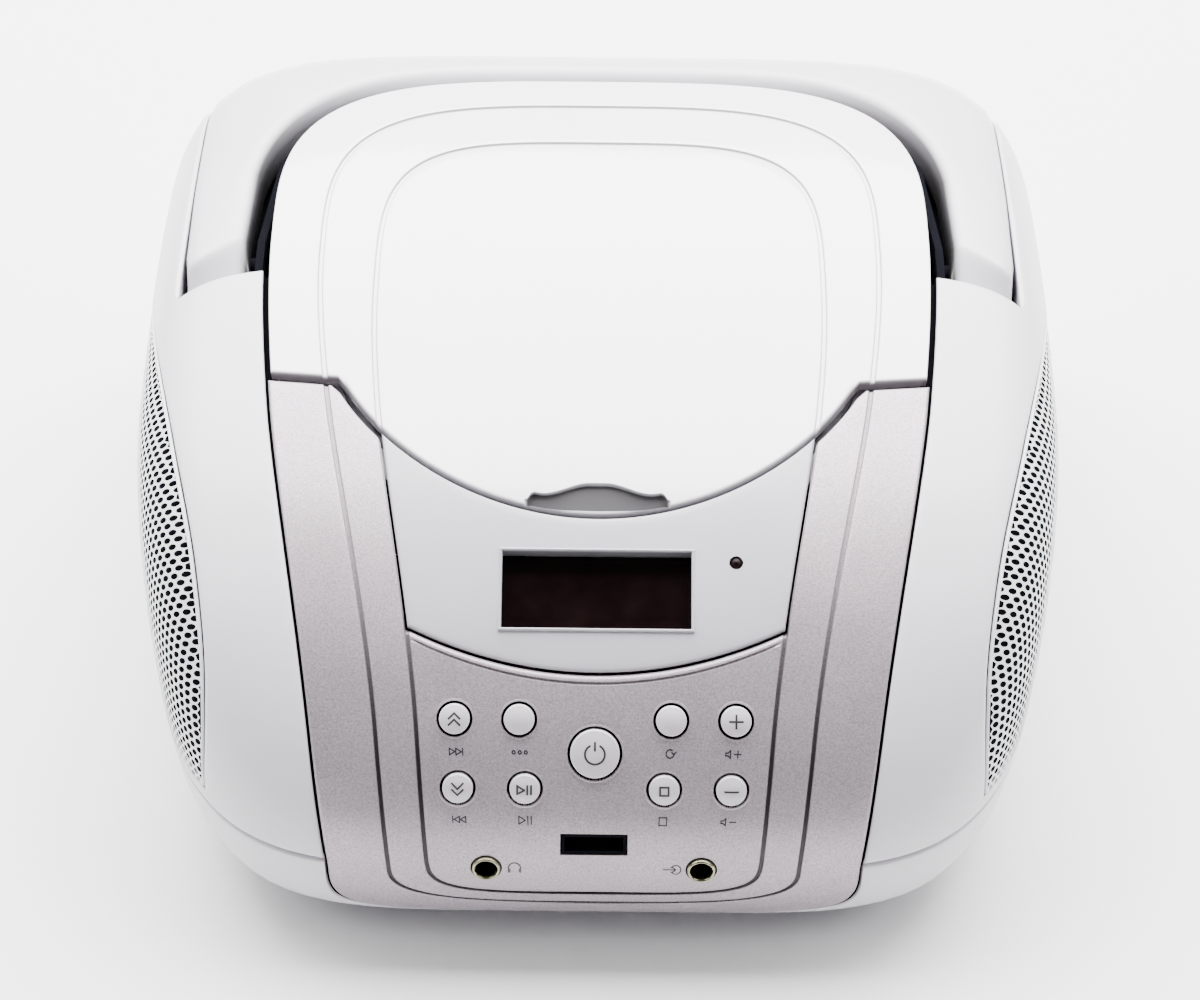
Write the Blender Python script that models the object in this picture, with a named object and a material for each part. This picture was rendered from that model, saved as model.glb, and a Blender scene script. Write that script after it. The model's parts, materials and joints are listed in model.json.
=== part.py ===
"""Portable CD player: white moulded shells on one body skin, round a top-loading CD mechanism.

Metres, +Z up, front towards -Y, origin on the ground under the middle of the body.
Every outer shell is a patch of the same skin, so a change of one body size moves them all together.
"""
import math

import bmesh
import bpy
from mathutils import Matrix, Vector

# Fits and walls
FIT = 0.0003
SEAM = 0.0006
SHELL = 0.0022

# Body skin: the side profile is a run of tangent arcs, from the front toe over the top to the rear wall
FOOT_HEIGHT = 0.004
FRONT_TOE_RADIUS = 0.014
FRONT_FACE_RADIUS = 0.038
CONTROL_RADIUS = 0.074
DISPLAY_RADIUS = 0.095
LID_BEND_RADIUS = 0.130
LID_TOP_RADIUS = 0.330
REAR_TOP_RADIUS = 0.034
REAR_TOE_RADIUS = 0.016
TOE_END_ANGLE = -12
FACE_END_ANGLE = 28
CONTROL_END_ANGLE = 42
DISPLAY_END_ANGLE = 60
LID_BEND_END_ANGLE = 75
LID_TOP_END_ANGLE = 97
REAR_END_ANGLE = 180

# Body skin: the sides close over a rounded end, narrower at the lower front
HALF_WIDTH = 0.105
SIDE_FULLNESS = 5.5
SIDE_CENTRE_Y = 0.006
SIDE_CENTRE_Z = 0.048
TAPER = 0.13
TAPER_LOW = -0.060
TAPER_HIGH = 0.040
TAPER_POWER = 1.5

# Lid, front panel and the seam they share with the side casings
LID_THICKNESS = 0.0024
DISC_ANGLE = 83.1
LID_FRONT_CIRCLE = 0.064
LID_EAR_REACH = 0.0284
LID_WIDEST_REACH = 0.018
LID_REAR_REACH = 0.0774
LID_HALF_WIDTH = 0.0765
LID_CORNER_POWER = 3.4
EAR_GAP = 0.0018
PANEL_HALF_WIDTH = 0.0662
PANEL_NARROW_ANGLE = 39
PANEL_BOTTOM_LENGTH = 0.013
PANEL_CORNER_LENGTH = 0.034
PANEL_CORNER_POWER = 5
NOTCH_HALF_WIDTH = 0.0150
NOTCH_LENGTH = 0.0072
NOTCH_DEPTH = 0.0014

# Lid hinge
HINGE_INSET = 0.0040
HINGE_DEPTH = 0.0052
HINGE_LUG_RADIUS = 0.0019
HINGE_NECK_LENGTH = 0.0030
HINGE_LUG_INNER_X = 0.0150
HINGE_LUG_OUTER_X = 0.0220
HINGE_PIN_RADIUS = 0.0012
HINGE_PIN_LENGTH = 0.0045
BRACKET_THICKNESS = 0.0030
BRACKET_RADIUS = 0.0023

# Deck under the lid and channel under the handle
DECK_DEPTH = 0.0077
CHANNEL_DEPTH = 0.0128
CHANNEL_WALL = 0.0018
CHANNEL_WALL_ARM_DEPTH = 0.0034
CHANNEL_WALL_REAR_DEPTH = 0.0082
TUCK = 0.0015
DECK_FRONT_TUCK = 0.0060
LIP_GAP = 0.0008

# Handle
HANDLE_SIDE_INSET = 0.0092
HANDLE_HALF_WIDTH = HALF_WIDTH - HANDLE_SIDE_INSET
HANDLE_LID_GAP = 0.0037
HANDLE_THICKNESS = 0.011
HANDLE_CHAMFER = 0.0015
HANDLE_REAR_ANGLE = 152
HANDLE_CORNER_POWER = 13
HANDLE_NOSE_GAP = 0.0034
HANDLE_PIVOT_DEPTH = 0.0068
HANDLE_PIN_RADIUS = 0.0020
HANDLE_PIN_SHARE = 5 / 13
HANDLE_REAR_GAP = 0.0012
POD_TOP_REACH = 0.0044
POD_FOOT_ANGLE = 6

# Speaker grilles: an upright half oval on each side dome
GRILLE_CENTRE_Y = -0.018
GRILLE_CENTRE_Z = 0.032
GRILLE_HALF_LENGTH = 0.0777
GRILLE_HEIGHT = 0.0515
GRILLE_FOOT_Z = 0.0335
GRILLE_THICKNESS = 0.0012

# Speakers
BAFFLE_X = 0.084
BAFFLE_THICKNESS = 0.0022
BAFFLE_CLEARANCE = 0.0013
SPEAKER_Y = -0.022
SPEAKER_Z = 0.047
SPEAKER_RADIUS = 0.031
SPEAKER_FLANGE = 0.0040
SPEAKER_FLANGE_THICKNESS = 0.0014
BASKET_DEPTH = 0.012
MAGNET_RADIUS = 0.016
MAGNET_DEPTH = 0.009
CONE_DEPTH = 0.008
CONE_THICKNESS = 0.0008
DUST_CAP_RADIUS = 0.009

# Display
DISPLAY_PANEL_CIRCLE = 0.0988
DISPLAY_PANEL_SHARE = 0.64
WINDOW_LENGTH = 0.0410
WINDOW_HEIGHT = 0.0175
WINDOW_ALONG = 0.0933
WINDOW_RECESS = 0.0044
WINDOW_THICKNESS = 0.0014
SLEEVE_WALL = 0.0010
DISPLAY_MODULE_LENGTH = 0.0460
DISPLAY_MODULE_HEIGHT = 0.0160
DISPLAY_MODULE_THICKNESS = 0.0040
LED_ACROSS = 0.0306
LED_ALONG = 0.0996
LED_RADIUS = 0.0012
LED_LENGTH = 0.0060

# Buttons
BUTTON_RADIUS = 0.00365
POWER_RADIUS = 0.00560
BUTTON_CLEARANCE = 0.0004
BUTTON_PROUD = 0.0012
BUTTON_CROWN = 0.0006
BUTTON_RIM = 0.0012
BUTTON_RIM_THICKNESS = 0.0010
BUTTON_STEM_RADIUS = 0.0018
BUTTON_TRAVEL = 0.0008
UPPER_ROW_ALONG = 0.0653
LOWER_ROW_ALONG = 0.0505
POWER_ALONG = 0.0582
OUTER_COLUMN_ACROSS = 0.0322
UPPER_INNER_ACROSS = 0.0174
LOWER_INNER_ACROSS = 0.0164
BOARD_THICKNESS = 0.0016
BUTTON_BOARD_DEPTH = 0.0105
BUTTON_BOARD_LENGTH = 0.0880
BUTTON_BOARD_HEIGHT = 0.0215
POST_RADIUS = 0.0018
POST_ACROSS = 0.0430

# Sockets on the front
USB_ALONG = 0.0376
USB_LENGTH = 0.0138
USB_HEIGHT = 0.0047
USB_WALL = 0.0006
USB_DEPTH = 0.0130
JACK_ACROSS = 0.0265
JACK_ALONG = 0.0312
JACK_RADIUS = 0.0034
JACK_BORE_RADIUS = 0.0019
JACK_BODY_RADIUS = 0.0045
JACK_DEPTH = 0.0130

# CD well and mechanism
DISC_RADIUS = 0.060
DISC_CLEARANCE = 0.0008
WELL_WALL = 0.0013
WELL_LEAST_WALL = 0.0040
WELL_HUB_HOLE = 0.0165
PICKUP_SLOT_WIDTH = 0.024
PICKUP_SLOT_REACH = 0.0575
DAMPER_HEIGHT = 0.0080
DAMPER_RADIUS = 0.0040
CHASSIS_THICKNESS = 0.0016
CHASSIS_RIGHT = 0.030
CHASSIS_LEFT = 0.036
CHASSIS_FRONT = 0.068
CHASSIS_REAR = 0.024
SPINDLE_MOTOR_RADIUS = 0.012
SPINDLE_MOTOR_HEIGHT = 0.009
SHAFT_RADIUS = 0.0010
SHAFT_SINK = 0.0060
HUB_RADIUS = 0.0060
TURNTABLE_RADIUS = 0.0150
TURNTABLE_RISE = 0.0012
SPIGOT_RADIUS = 0.0073
SPIGOT_HEIGHT = 0.0036
SLED_HALF_WIDTH = 0.0100
SLED_LENGTH = 0.022
SLED_HEIGHT = 0.0064
SLED_START_RADIUS = 0.024
SLED_TRAVEL = 0.028
ROD_RADIUS = 0.0015
ROD_ACROSS = 0.0060
ROD_HEIGHT = 0.0034
ROD_BLOCK = 0.0040
LENS_RADIUS = 0.0032
LENS_HEIGHT = 0.0020
GEAR_MODULE = 0.0010
GEAR_TEETH = 12
PINION_TEETH = 8
GEAR_RADIUS_FROM_SPINDLE = 0.026
GEAR_THICKNESS = 0.0034
SLED_MOTOR_RADIUS = 0.0075
SLED_MOTOR_HEIGHT = 0.012

# Power, board and batteries
MAIN_BOARD_SIZE = (0.070, 0.056, 0.0016)
MAIN_BOARD_CENTRE = (0.021, -0.052)
MAIN_BOARD_Z = 0.014
STANDOFF_RADIUS = 0.0025
STANDOFF_INSET = 0.005
TRANSFORMER_SIZE = (0.040, 0.036, 0.034)
TRANSFORMER_CENTRE = (-0.037, -0.048)
INLET_SIZE = (0.022, 0.016, 0.016)
INLET_X = -0.045
INLET_Z = 0.030
INLET_PIN_SPACING = 0.0092
INLET_HOLE_RADIUS = 0.0042
INLET_HOLE_DEPTH = 0.011
BATTERY_BAY_SIZE = (0.112, 0.056, 0.028)
BATTERY_BAY_Y = 0.036
BATTERY_WALL = 0.0018
BATTERY_DOOR_TRAVEL = 0.008

# Feet
FOOT_RADIUS = 0.0070
FOOT_PEG_RADIUS = 0.0025
FOOT_PEG_HEIGHT = 0.0060
FOOT_X = 0.056
FRONT_FOOT_Y = -0.076
REAR_FOOT_Y = 0.086

# Telescopic aerial in its recess on the rear wall
AERIAL_RECESS_DEPTH = 0.0095
AERIAL_RECESS_TOP_LENGTH = 0.002
AERIAL_RECESS_HEIGHT = 0.0155
AERIAL_RECESS_HALF_WIDTH = 0.0665
AERIAL_RUN_OUT = 0.088
AERIAL_DEPTH = 0.0048
AERIAL_LOW_MARGIN = 0.0056
AERIAL_PIVOT_X = 0.061
AERIAL_TILT = 30
AERIAL_PIN_RADIUS = 0.0020
AERIAL_BARREL_RADIUS = 0.0037
AERIAL_BARREL_HALF = 0.0034
AERIAL_MAST_RADIUS = 0.0030
AERIAL_MIDDLE_RADIUS = 0.0021
AERIAL_ROD_RADIUS = 0.0013
AERIAL_WALL = 0.0005
AERIAL_LENGTH = 0.117
AERIAL_TIP_RADIUS = 0.0026
AERIAL_TIP_LENGTH = 0.0060

# Colours, roughness and metallic value of the finishes
FINISHES = {
    "gloss_white": ((0.90, 0.89, 0.92), 0.18, 0.0),
    "satin_white": ((0.84, 0.84, 0.87), 0.35, 0.0),
    "silver_paint": ((0.66, 0.65, 0.69), 0.42, 0.3),
    "grille_white": ((0.78, 0.78, 0.81), 0.45, 0.0),
    "button_silver": ((0.80, 0.79, 0.82), 0.30, 0.2),
    "dark_window": ((0.015, 0.010, 0.012), 0.12, 0.0),
    "black_plastic": ((0.025, 0.025, 0.028), 0.45, 0.0),
    "grey_plastic": ((0.30, 0.30, 0.32), 0.50, 0.0),
    "dark_steel": ((0.25, 0.25, 0.27), 0.35, 0.9),
    "bright_steel": ((0.72, 0.72, 0.74), 0.22, 1.0),
    "brass": ((0.70, 0.60, 0.36), 0.30, 1.0),
    "green_board": ((0.03, 0.20, 0.10), 0.50, 0.0),
    "rubber": ((0.05, 0.05, 0.05), 0.85, 0.0),
    "paper_cone": ((0.06, 0.06, 0.07), 0.80, 0.0),
    "clear_lens": ((0.35, 0.40, 0.60), 0.08, 0.0),
    "red_lens": ((0.20, 0.02, 0.02), 0.20, 0.0),
    "white_nylon": ((0.85, 0.84, 0.80), 0.50, 0.0),
}
SEGMENTS = 18
SMALL_SEGMENTS = 12
WELL_SEGMENTS = 40
COLUMNS = 13
SMOOTH_ANGLE = math.radians(35)


# Side profile

def trace_profile():
    """Pieces of the closed side profile: (start length, end length, start y, start z, radius, angle)."""
    arcs = (
        (FRONT_TOE_RADIUS, TOE_END_ANGLE),
        (FRONT_FACE_RADIUS, FACE_END_ANGLE),
        (CONTROL_RADIUS, CONTROL_END_ANGLE),
        (DISPLAY_RADIUS, DISPLAY_END_ANGLE),
        (LID_BEND_RADIUS, LID_BEND_END_ANGLE),
        (LID_TOP_RADIUS, LID_TOP_END_ANGLE),
        (REAR_TOP_RADIUS, REAR_END_ANGLE),
    )
    pieces = []
    y, z, angle, length = 0.0, FOOT_HEIGHT, math.radians(-90), 0.0

    def add_arc(radius, end):
        nonlocal y, z, angle, length
        pieces.append((length, length + radius * (end - angle), y, z, radius, angle))
        length += radius * (end - angle)
        y += radius * (math.cos(angle) - math.cos(end))
        z += radius * (math.sin(end) - math.sin(angle))
        angle = end

    def add_line(run):
        nonlocal y, z, length
        pieces.append((length, length + run, y, z, None, angle))
        length += run
        y += run * math.sin(angle)
        z += run * math.cos(angle)

    for radius, end in arcs:
        add_arc(radius, math.radians(end))
    add_line(z - FOOT_HEIGHT - REAR_TOE_RADIUS)
    add_arc(REAR_TOE_RADIUS, math.radians(270))
    add_line(y)
    return pieces


PIECES = trace_profile()
LOOP = PIECES[-1][1]


def raw_profile(s):
    """Point (y, z) of the profile at length s, before it is centred."""
    s %= LOOP
    for start, end, y, z, radius, angle in PIECES:
        if s <= end:
            break
    if radius is None:
        return y + (s - start) * math.sin(angle), z + (s - start) * math.cos(angle)
    turn = angle + (s - start) / radius
    return y + radius * (math.cos(angle) - math.cos(turn)), z + radius * (math.sin(turn) - math.sin(angle))


def station(degrees):
    """Length along the profile where its outward normal stands at this angle above the front."""
    angle = math.radians(degrees)
    for start, end, _, _, radius, first in PIECES:
        if radius is not None and first <= angle <= first + (end - start) / radius:
            return start + radius * (angle - first)
    raise ValueError("no such angle on the profile")


FRONT_Y = raw_profile(station(0))[0]
REAR_Y = raw_profile(station(REAR_END_ANGLE))[0]
MIDDLE_Y = (FRONT_Y + REAR_Y) / 2
WALL_TOP = station(REAR_END_ANGLE)

# Lengths along the profile of the main edges
DISC = station(DISC_ANGLE)
EAR = DISC - LID_EAR_REACH
WIDEST = DISC + LID_WIDEST_REACH
LID_REAR = DISC + LID_REAR_REACH
NARROW = station(PANEL_NARROW_ANGLE)
POD_TOP = DISC + POD_TOP_REACH
POD_FOOT = station(POD_FOOT_ANGLE)
HANDLE_START = POD_TOP + HANDLE_NOSE_GAP
HANDLE_REAR = station(HANDLE_REAR_ANGLE)
POD_REAR = HANDLE_REAR + HANDLE_REAR_GAP
AERIAL_TOP = WALL_TOP + AERIAL_RECESS_TOP_LENGTH
AERIAL_LOW = AERIAL_TOP + AERIAL_RECESS_HEIGHT


# Body skin

def profile(s):
    """Point (y, z) of the centred profile."""
    y, z = raw_profile(s)
    return y - MIDDLE_Y, z


def taper(y, z):
    """Share of the width that is left at this place of the side view."""
    diagonal = (y + z) / math.sqrt(2)
    t = min(max((diagonal - TAPER_LOW) / (TAPER_HIGH - TAPER_LOW), 0.0), 1.0)
    return 1 - TAPER * (1 - t) ** TAPER_POWER


def cross_angle(xi):
    """Angle round the rounded end that belongs to the cross position xi."""
    return math.copysign(math.asin(min(abs(xi) / HALF_WIDTH, 1.0) ** (SIDE_FULLNESS / 2)), xi)


def skin_at(angle, s):
    """Point of the body skin at a cross angle, 0 in the middle and 90 degrees at the tip of a side."""
    power = 2 / SIDE_FULLNESS
    share = max(math.cos(angle), 0.0) ** power
    xi = HALF_WIDTH * math.copysign(abs(math.sin(angle)) ** power, angle)
    y, z = profile(s)
    y = SIDE_CENTRE_Y + share * (y - SIDE_CENTRE_Y)
    z = SIDE_CENTRE_Z + share * (z - SIDE_CENTRE_Z)
    return Vector((xi * taper(y, z), y, z))


def normal_at(angle, s):
    """Outward normal of the body skin."""
    step, run = 1e-3, 1e-4
    across = skin_at(angle + step, s) - skin_at(angle - step, s)
    along = skin_at(angle, s + run) - skin_at(angle, s - run)
    return across.cross(along).normalized()


def skin_deep(angle, s, depth, straight=False):
    """Point under the skin: along its normal or, if straight, along the normal within the side view."""
    normal = normal_at(angle, s)
    if straight:
        normal = Vector((0, normal.y, normal.z)).normalized()
    return skin_at(angle, s) - depth * normal


def skin(xi, s, depth=0.0, straight=False):
    """Point of the skin, or under it, at the cross position xi."""
    return skin_deep(cross_angle(xi), s, depth, straight)


def skin_frame(xi, s):
    """Local frame on the skin: +Z along the outward normal, +X across the body."""
    angle = cross_angle(xi)
    up = normal_at(angle, s)
    across = Vector((1, 0, 0))
    across = (across - across.dot(up) * up).normalized()
    return frame(skin_at(angle, s), across, up)


def frame(origin, across, up):
    """Matrix with this origin, +X along across and +Z along up."""
    turn = Matrix((across, up.cross(across), up)).transposed()
    return Matrix.Translation(origin) @ turn.to_4x4()


def spread(count):
    """Values from -1 to 1, closer together towards both ends."""
    return [math.sin(math.pi * (i / (count - 1) - 0.5)) for i in range(count)]


def steps(first, last, count):
    """Evenly spaced values with both ends."""
    return [first + (last - first) * i / (count - 1) for i in range(count)]


def smooth_step(t):
    """Ease from 0 to 1."""
    t = min(max(t, 0.0), 1.0)
    return t * t * (3 - 2 * t)


# Outlines on the skin

def seam_half(s):
    """Half width of the lid and front panel, at the seam with the side casings."""
    growth = smooth_step((s - NARROW) / (WIDEST - NARROW))
    return PANEL_HALF_WIDTH + (LID_HALF_WIDTH - PANEL_HALF_WIDTH) * growth


def disc_circle(xi, radius):
    """Front half of a circle round the disc, as a length along the profile."""
    return DISC - math.sqrt(max(radius * radius - xi * xi, 0.0))


def lid_front(xi, circle_growth=0.0, ear_growth=0.0):
    """Front edge of the lid: an arc round the disc between two straight ears."""
    return min(disc_circle(xi, LID_FRONT_CIRCLE + circle_growth), EAR - ear_growth)


def lid_rear(u, growth=0.0):
    """Rear edge of the lid at the share u of its half width."""
    bow = (1 - abs(u) ** LID_CORNER_POWER) ** (1 / LID_CORNER_POWER)
    return WIDEST + (LID_REAR + growth - WIDEST) * bow


def panel_bottom(u):
    """Lower edge of the front panel at the share u of its half width."""
    bow = (1 - min(abs(u), 1.0) ** PANEL_CORNER_POWER) ** (1 / PANEL_CORNER_POWER)
    return PANEL_CORNER_LENGTH - (PANEL_CORNER_LENGTH - PANEL_BOTTOM_LENGTH) * bow


def meet(u, half, edge):
    """Length where the line at the share u of the half width meets an edge given over xi."""
    s = EAR
    for _ in range(12):
        s = edge(u * half(s))
    return s


def grille_reach(s):
    """Where the ray from the side's centre to the profile at s meets the grille's oval and its flat foot."""
    y, z = profile(s)
    dy, dz = y - SIDE_CENTRE_Y, z - SIDE_CENTRE_Z
    oy = (SIDE_CENTRE_Y - GRILLE_CENTRE_Y) / GRILLE_HALF_LENGTH
    oz = (SIDE_CENTRE_Z - GRILLE_CENTRE_Z) / GRILLE_HEIGHT
    ey, ez = dy / GRILLE_HALF_LENGTH, dz / GRILLE_HEIGHT
    a, b, c = ey * ey + ez * ez, ey * oy + ez * oz, oy * oy + oz * oz - 1
    oval = (math.sqrt(b * b - a * c) - b) / a
    foot = (GRILLE_FOOT_Z - SIDE_CENTRE_Z) / dz if dz < 0 else math.inf
    return oval, foot


def grille_share(s):
    """Share of the ray at s that lies on the grille."""
    return min(grille_reach(s))


def grille_corner(low, high):
    """Length, between two lengths, of the ray through a corner of the grille's half oval."""
    def foot_first(s):
        oval, foot = grille_reach(s)
        return foot < oval
    at_low = foot_first(low)
    for _ in range(40):
        middle = (low + high) / 2
        if foot_first(middle) == at_low:
            low = middle
        else:
            high = middle
    return low


def grille_angle(s, gap):
    """Cross angle of the grille's edge on the ray at s, moved outwards by gap along the ray."""
    y, z = profile(s)
    ray = math.hypot(y - SIDE_CENTRE_Y, z - SIDE_CENTRE_Z)
    share = grille_share(s) + gap / ray
    return math.acos(min(share, 1.0) ** (SIDE_FULLNESS / 2))


# Meshes and objects

def finish_material(node, finish):
    """Own material of a node, with the colour, roughness and metallic value of its finish."""
    colour, roughness, metallic = FINISHES[finish]
    material = bpy.data.materials.new(node + "_" + finish)
    material.use_nodes = True
    shader = material.node_tree.nodes["Principled BSDF"]
    shader.inputs["Base Color"].default_value = (*colour, 1.0)
    shader.inputs["Roughness"].default_value = roughness
    shader.inputs["Metallic"].default_value = metallic
    return material


def place(name, bm, finish=None, at=None):
    """Object from a mesh in world coordinates, with its origin frame at the given matrix."""
    at = at or Matrix.Identity(4)
    bmesh.ops.recalc_face_normals(bm, faces=bm.faces)
    bm.transform(at.inverted())
    mesh = bpy.data.meshes.new(name)
    bm.to_mesh(mesh)
    bm.free()
    mesh.shade_smooth()
    mesh.set_sharp_from_angle(angle=SMOOTH_ANGLE)
    item = bpy.data.objects.new(name, mesh)
    item.matrix_world = at
    bpy.context.scene.collection.objects.link(item)
    if finish:
        mesh.materials.append(finish_material(name, finish))
    else:
        item.hide_render = True
        item.display_type = "WIRE"
    return item


def boolean(item, operation, bm, name):
    """Cut or join a helper solid into an object."""
    helper = place(item.name + "_" + name, bm)
    modifier = item.modifiers.new(name, "BOOLEAN")
    modifier.operation = operation
    modifier.solver = "EXACT"
    modifier.object = helper
    return item


def cut(item, bm, name):
    """Cut a helper solid out of an object."""
    return boolean(item, "DIFFERENCE", bm, name)


def join(item, bm, name):
    """Join a helper solid to an object."""
    return boolean(item, "UNION", bm, name)


def shell(outer, inner):
    """Closed solid between two grids of points."""
    bm = bmesh.new()
    top = [[bm.verts.new(p) for p in row] for row in outer]
    low = [[bm.verts.new(p) for p in row] for row in inner]
    rows, columns = len(top), len(top[0])
    for i in range(rows - 1):
        for j in range(columns - 1):
            bm.faces.new((top[i][j], top[i][j + 1], top[i + 1][j + 1], top[i + 1][j]))
            bm.faces.new((low[i][j], low[i + 1][j], low[i + 1][j + 1], low[i][j + 1]))
    rim = [(0, j) for j in range(columns)] + [(i, columns - 1) for i in range(1, rows)]
    rim += [(rows - 1, j) for j in range(columns - 2, -1, -1)] + [(i, 0) for i in range(rows - 2, 0, -1)]
    for (i, j), (k, m) in zip(rim, rim[1:] + rim[:1]):
        bm.faces.new((top[i][j], low[i][j], low[k][m], top[k][m]))
    return bm


def grid_shell(rows, columns, point):
    """Shell whose outer and inner points are point(row, column, 0) and point(row, column, 1)."""
    return shell(*([[point(r, c, layer) for c in columns] for r in rows] for layer in (0, 1)))


def lathe(outline, at, segments=SEGMENTS, bm=None):
    """Solid turned round the local Z axis: outline is (radius, height) points; a radius of 0 is the axis."""
    bm = bm or bmesh.new()
    rings = []
    for radius, height in outline:
        if radius <= 0:
            rings.append([bm.verts.new(at @ Vector((0, 0, height)))])
        else:
            turns = [math.tau * i / segments for i in range(segments)]
            rings.append([bm.verts.new(at @ Vector((radius * math.cos(t), radius * math.sin(t), height)))
                          for t in turns])
    pairs = list(zip(rings, rings[1:]))
    if outline[0][0] > 0:
        pairs.append((rings[-1], rings[0]))
    for one, two in pairs:
        for i in range(segments):
            k = (i + 1) % segments
            corners = [one[i % len(one)], one[k % len(one)], two[k % len(two)], two[i % len(two)]]
            corners = list(dict.fromkeys(corners))
            if len(corners) > 2:
                bm.faces.new(corners)
    return bm


def rod(start, end, radius, segments=SMALL_SEGMENTS, bm=None):
    """Plain cylinder between two points."""
    axis = end - start
    at = frame(start, axis.orthogonal().normalized(), axis.normalized())
    return lathe(((0, 0), (radius, 0), (radius, axis.length), (0, axis.length)), at, segments, bm)


def block(size, at, bm=None):
    """Box of this size, centred on the frame."""
    bm = bm or bmesh.new()
    scale = Matrix.Diagonal((*size, 1))
    bmesh.ops.create_cube(bm, size=1.0, matrix=at @ scale)
    return bm


def prism(outline, at, low, high):
    """Flat outline in the frame's XY, drawn out from low to high along its Z."""
    bm = bmesh.new()
    ends = [[bm.verts.new(at @ Vector((x, y, z))) for x, y in outline] for z in (low, high)]
    bm.faces.new(ends[0])
    bm.faces.new(ends[1])
    for i in range(len(outline)):
        k = (i + 1) % len(outline)
        bm.faces.new((ends[0][i], ends[0][k], ends[1][k], ends[1][i]))
    return bm


def at_point(x, y, z):
    """Upright frame at a point."""
    return Matrix.Translation((x, y, z))


# Skin patches

def patch(us, vs, start, end, half, depths, lip=None):
    """Shell on the skin between two edges: share u of the half width, share v of the way along.

    A lip turns the far edge straight down, to this depth under the skin.
    """
    def point(v, u, layer):
        first, last = start(u), end(u)
        s = first + v * (last - first)
        if lip and layer and v == 1:
            drop = lip / normal_at(cross_angle(u * half(s)), s).z
            return skin(u * half(s), s) - Vector((0, 0, drop))
        return skin(u * half(s), s, depths(u, v)[layer])
    return grid_shell(vs, us, point)


def lid_patch(us, vs, depths, circle_growth=0.0, ear_growth=0.0, rear_growth=0.0, half=seam_half):
    """Shell with the lid's outline, grown by the given amounts."""
    def start(u):
        return meet(u, half, lambda xi: lid_front(xi, circle_growth, ear_growth))
    return patch(us, vs, start, lambda u: lid_rear(u, rear_growth), half, depths)


def hinge_axis():
    """Point of the lid's hinge axis in the middle of the body; the axis runs along X."""
    return skin(0, LID_REAR - HINGE_INSET, HINGE_DEPTH)


def build_lid():
    """Top-loading lid with its finger notch, hinge lugs and pins."""
    us = spread(COLUMNS)
    bm = lid_patch(us, steps(0, 1, 13), lambda u, v: (0.0, LID_THICKNESS),
                   half=lambda s: seam_half(s) - SEAM / 2)
    axis = hinge_axis()
    lid = place("lid", bm, "gloss_white", Matrix.Translation(axis))
    lugs = bmesh.new()
    for side in (-1, 1):
        inner = Vector((side * HINGE_LUG_INNER_X, axis.y, axis.z))
        outer = Vector((side * HINGE_LUG_OUTER_X, axis.y, axis.z))
        tip = outer + Vector((side * HINGE_PIN_LENGTH, 0, 0))
        spine = frame(inner, Vector((0, 1, 0)), Vector((side, 0, 0)))
        lug, reach = (outer - inner).length, (tip - inner).length
        lathe(((0, 0), (HINGE_LUG_RADIUS, 0), (HINGE_LUG_RADIUS, lug), (HINGE_PIN_RADIUS, lug),
               (HINGE_PIN_RADIUS, reach), (0, reach)), spine, SMALL_SEGMENTS, lugs)
    necks = bmesh.new()
    top = surface_z(axis.y, LID_THICKNESS / 2)
    for side in (-1, 1):
        x = side * (HINGE_LUG_INNER_X + HINGE_LUG_OUTER_X) / 2
        width = HINGE_LUG_OUTER_X - HINGE_LUG_INNER_X - 2 * FIT
        block((width, HINGE_NECK_LENGTH, top - axis.z), at_point(x, axis.y, (top + axis.z) / 2), necks)
    join(lid, necks, "hinge_necks")
    join(lid, lugs, "hinge_lugs")
    edge = disc_circle(0, LID_FRONT_CIRCLE) - SEAM
    scoop = skin_frame(0, edge) @ Matrix.Diagonal((NOTCH_HALF_WIDTH, NOTCH_LENGTH, NOTCH_DEPTH, 1))
    notch = bmesh.new()
    bmesh.ops.create_uvsphere(notch, u_segments=SMALL_SEGMENTS, v_segments=8, radius=1.0, matrix=scoop)
    return cut(lid, notch, "finger_notch")


def build_front_panel():
    """Silver control fascia, open for the display panel, the buttons and the sockets."""
    def half(s):
        return seam_half(s) - SEAM / 2

    def end(u):
        return meet(u, half, lambda xi: lid_front(xi, SEAM, EAR_GAP))

    vs = steps(0, 0.2, 5) + steps(0.28, 0.97, 9) + [1.0]
    bm = patch(spread(COLUMNS), vs, panel_bottom, end, half, lambda u, v: (0.0, SHELL), DECK_DEPTH - FIT)
    panel = place("front_panel", bm, "silver_paint")
    join(panel, board_posts(), "board_posts")
    cut(panel, display_patch(SEAM, -SHELL, DECK_DEPTH + SHELL), "display_opening")
    holes = bmesh.new()
    for name, xi, s, radius in button_places():
        hole = radius + BUTTON_CLEARANCE
        lathe(((0, -2 * SHELL), (hole, -2 * SHELL), (hole, SHELL), (0, SHELL)), skin_frame(xi, s), SEGMENTS,
              holes)
    for side in (-1, 1):
        hole = JACK_RADIUS + FIT
        lathe(((0, -2 * SHELL), (hole, -2 * SHELL), (hole, SHELL), (0, SHELL)),
              skin_frame(side * JACK_ACROSS, JACK_ALONG), SEGMENTS, holes)
    block((USB_LENGTH + 2 * FIT, USB_HEIGHT + 2 * FIT, 6 * SHELL), skin_frame(0, USB_ALONG), holes)
    return cut(panel, holes, "holes")


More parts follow.
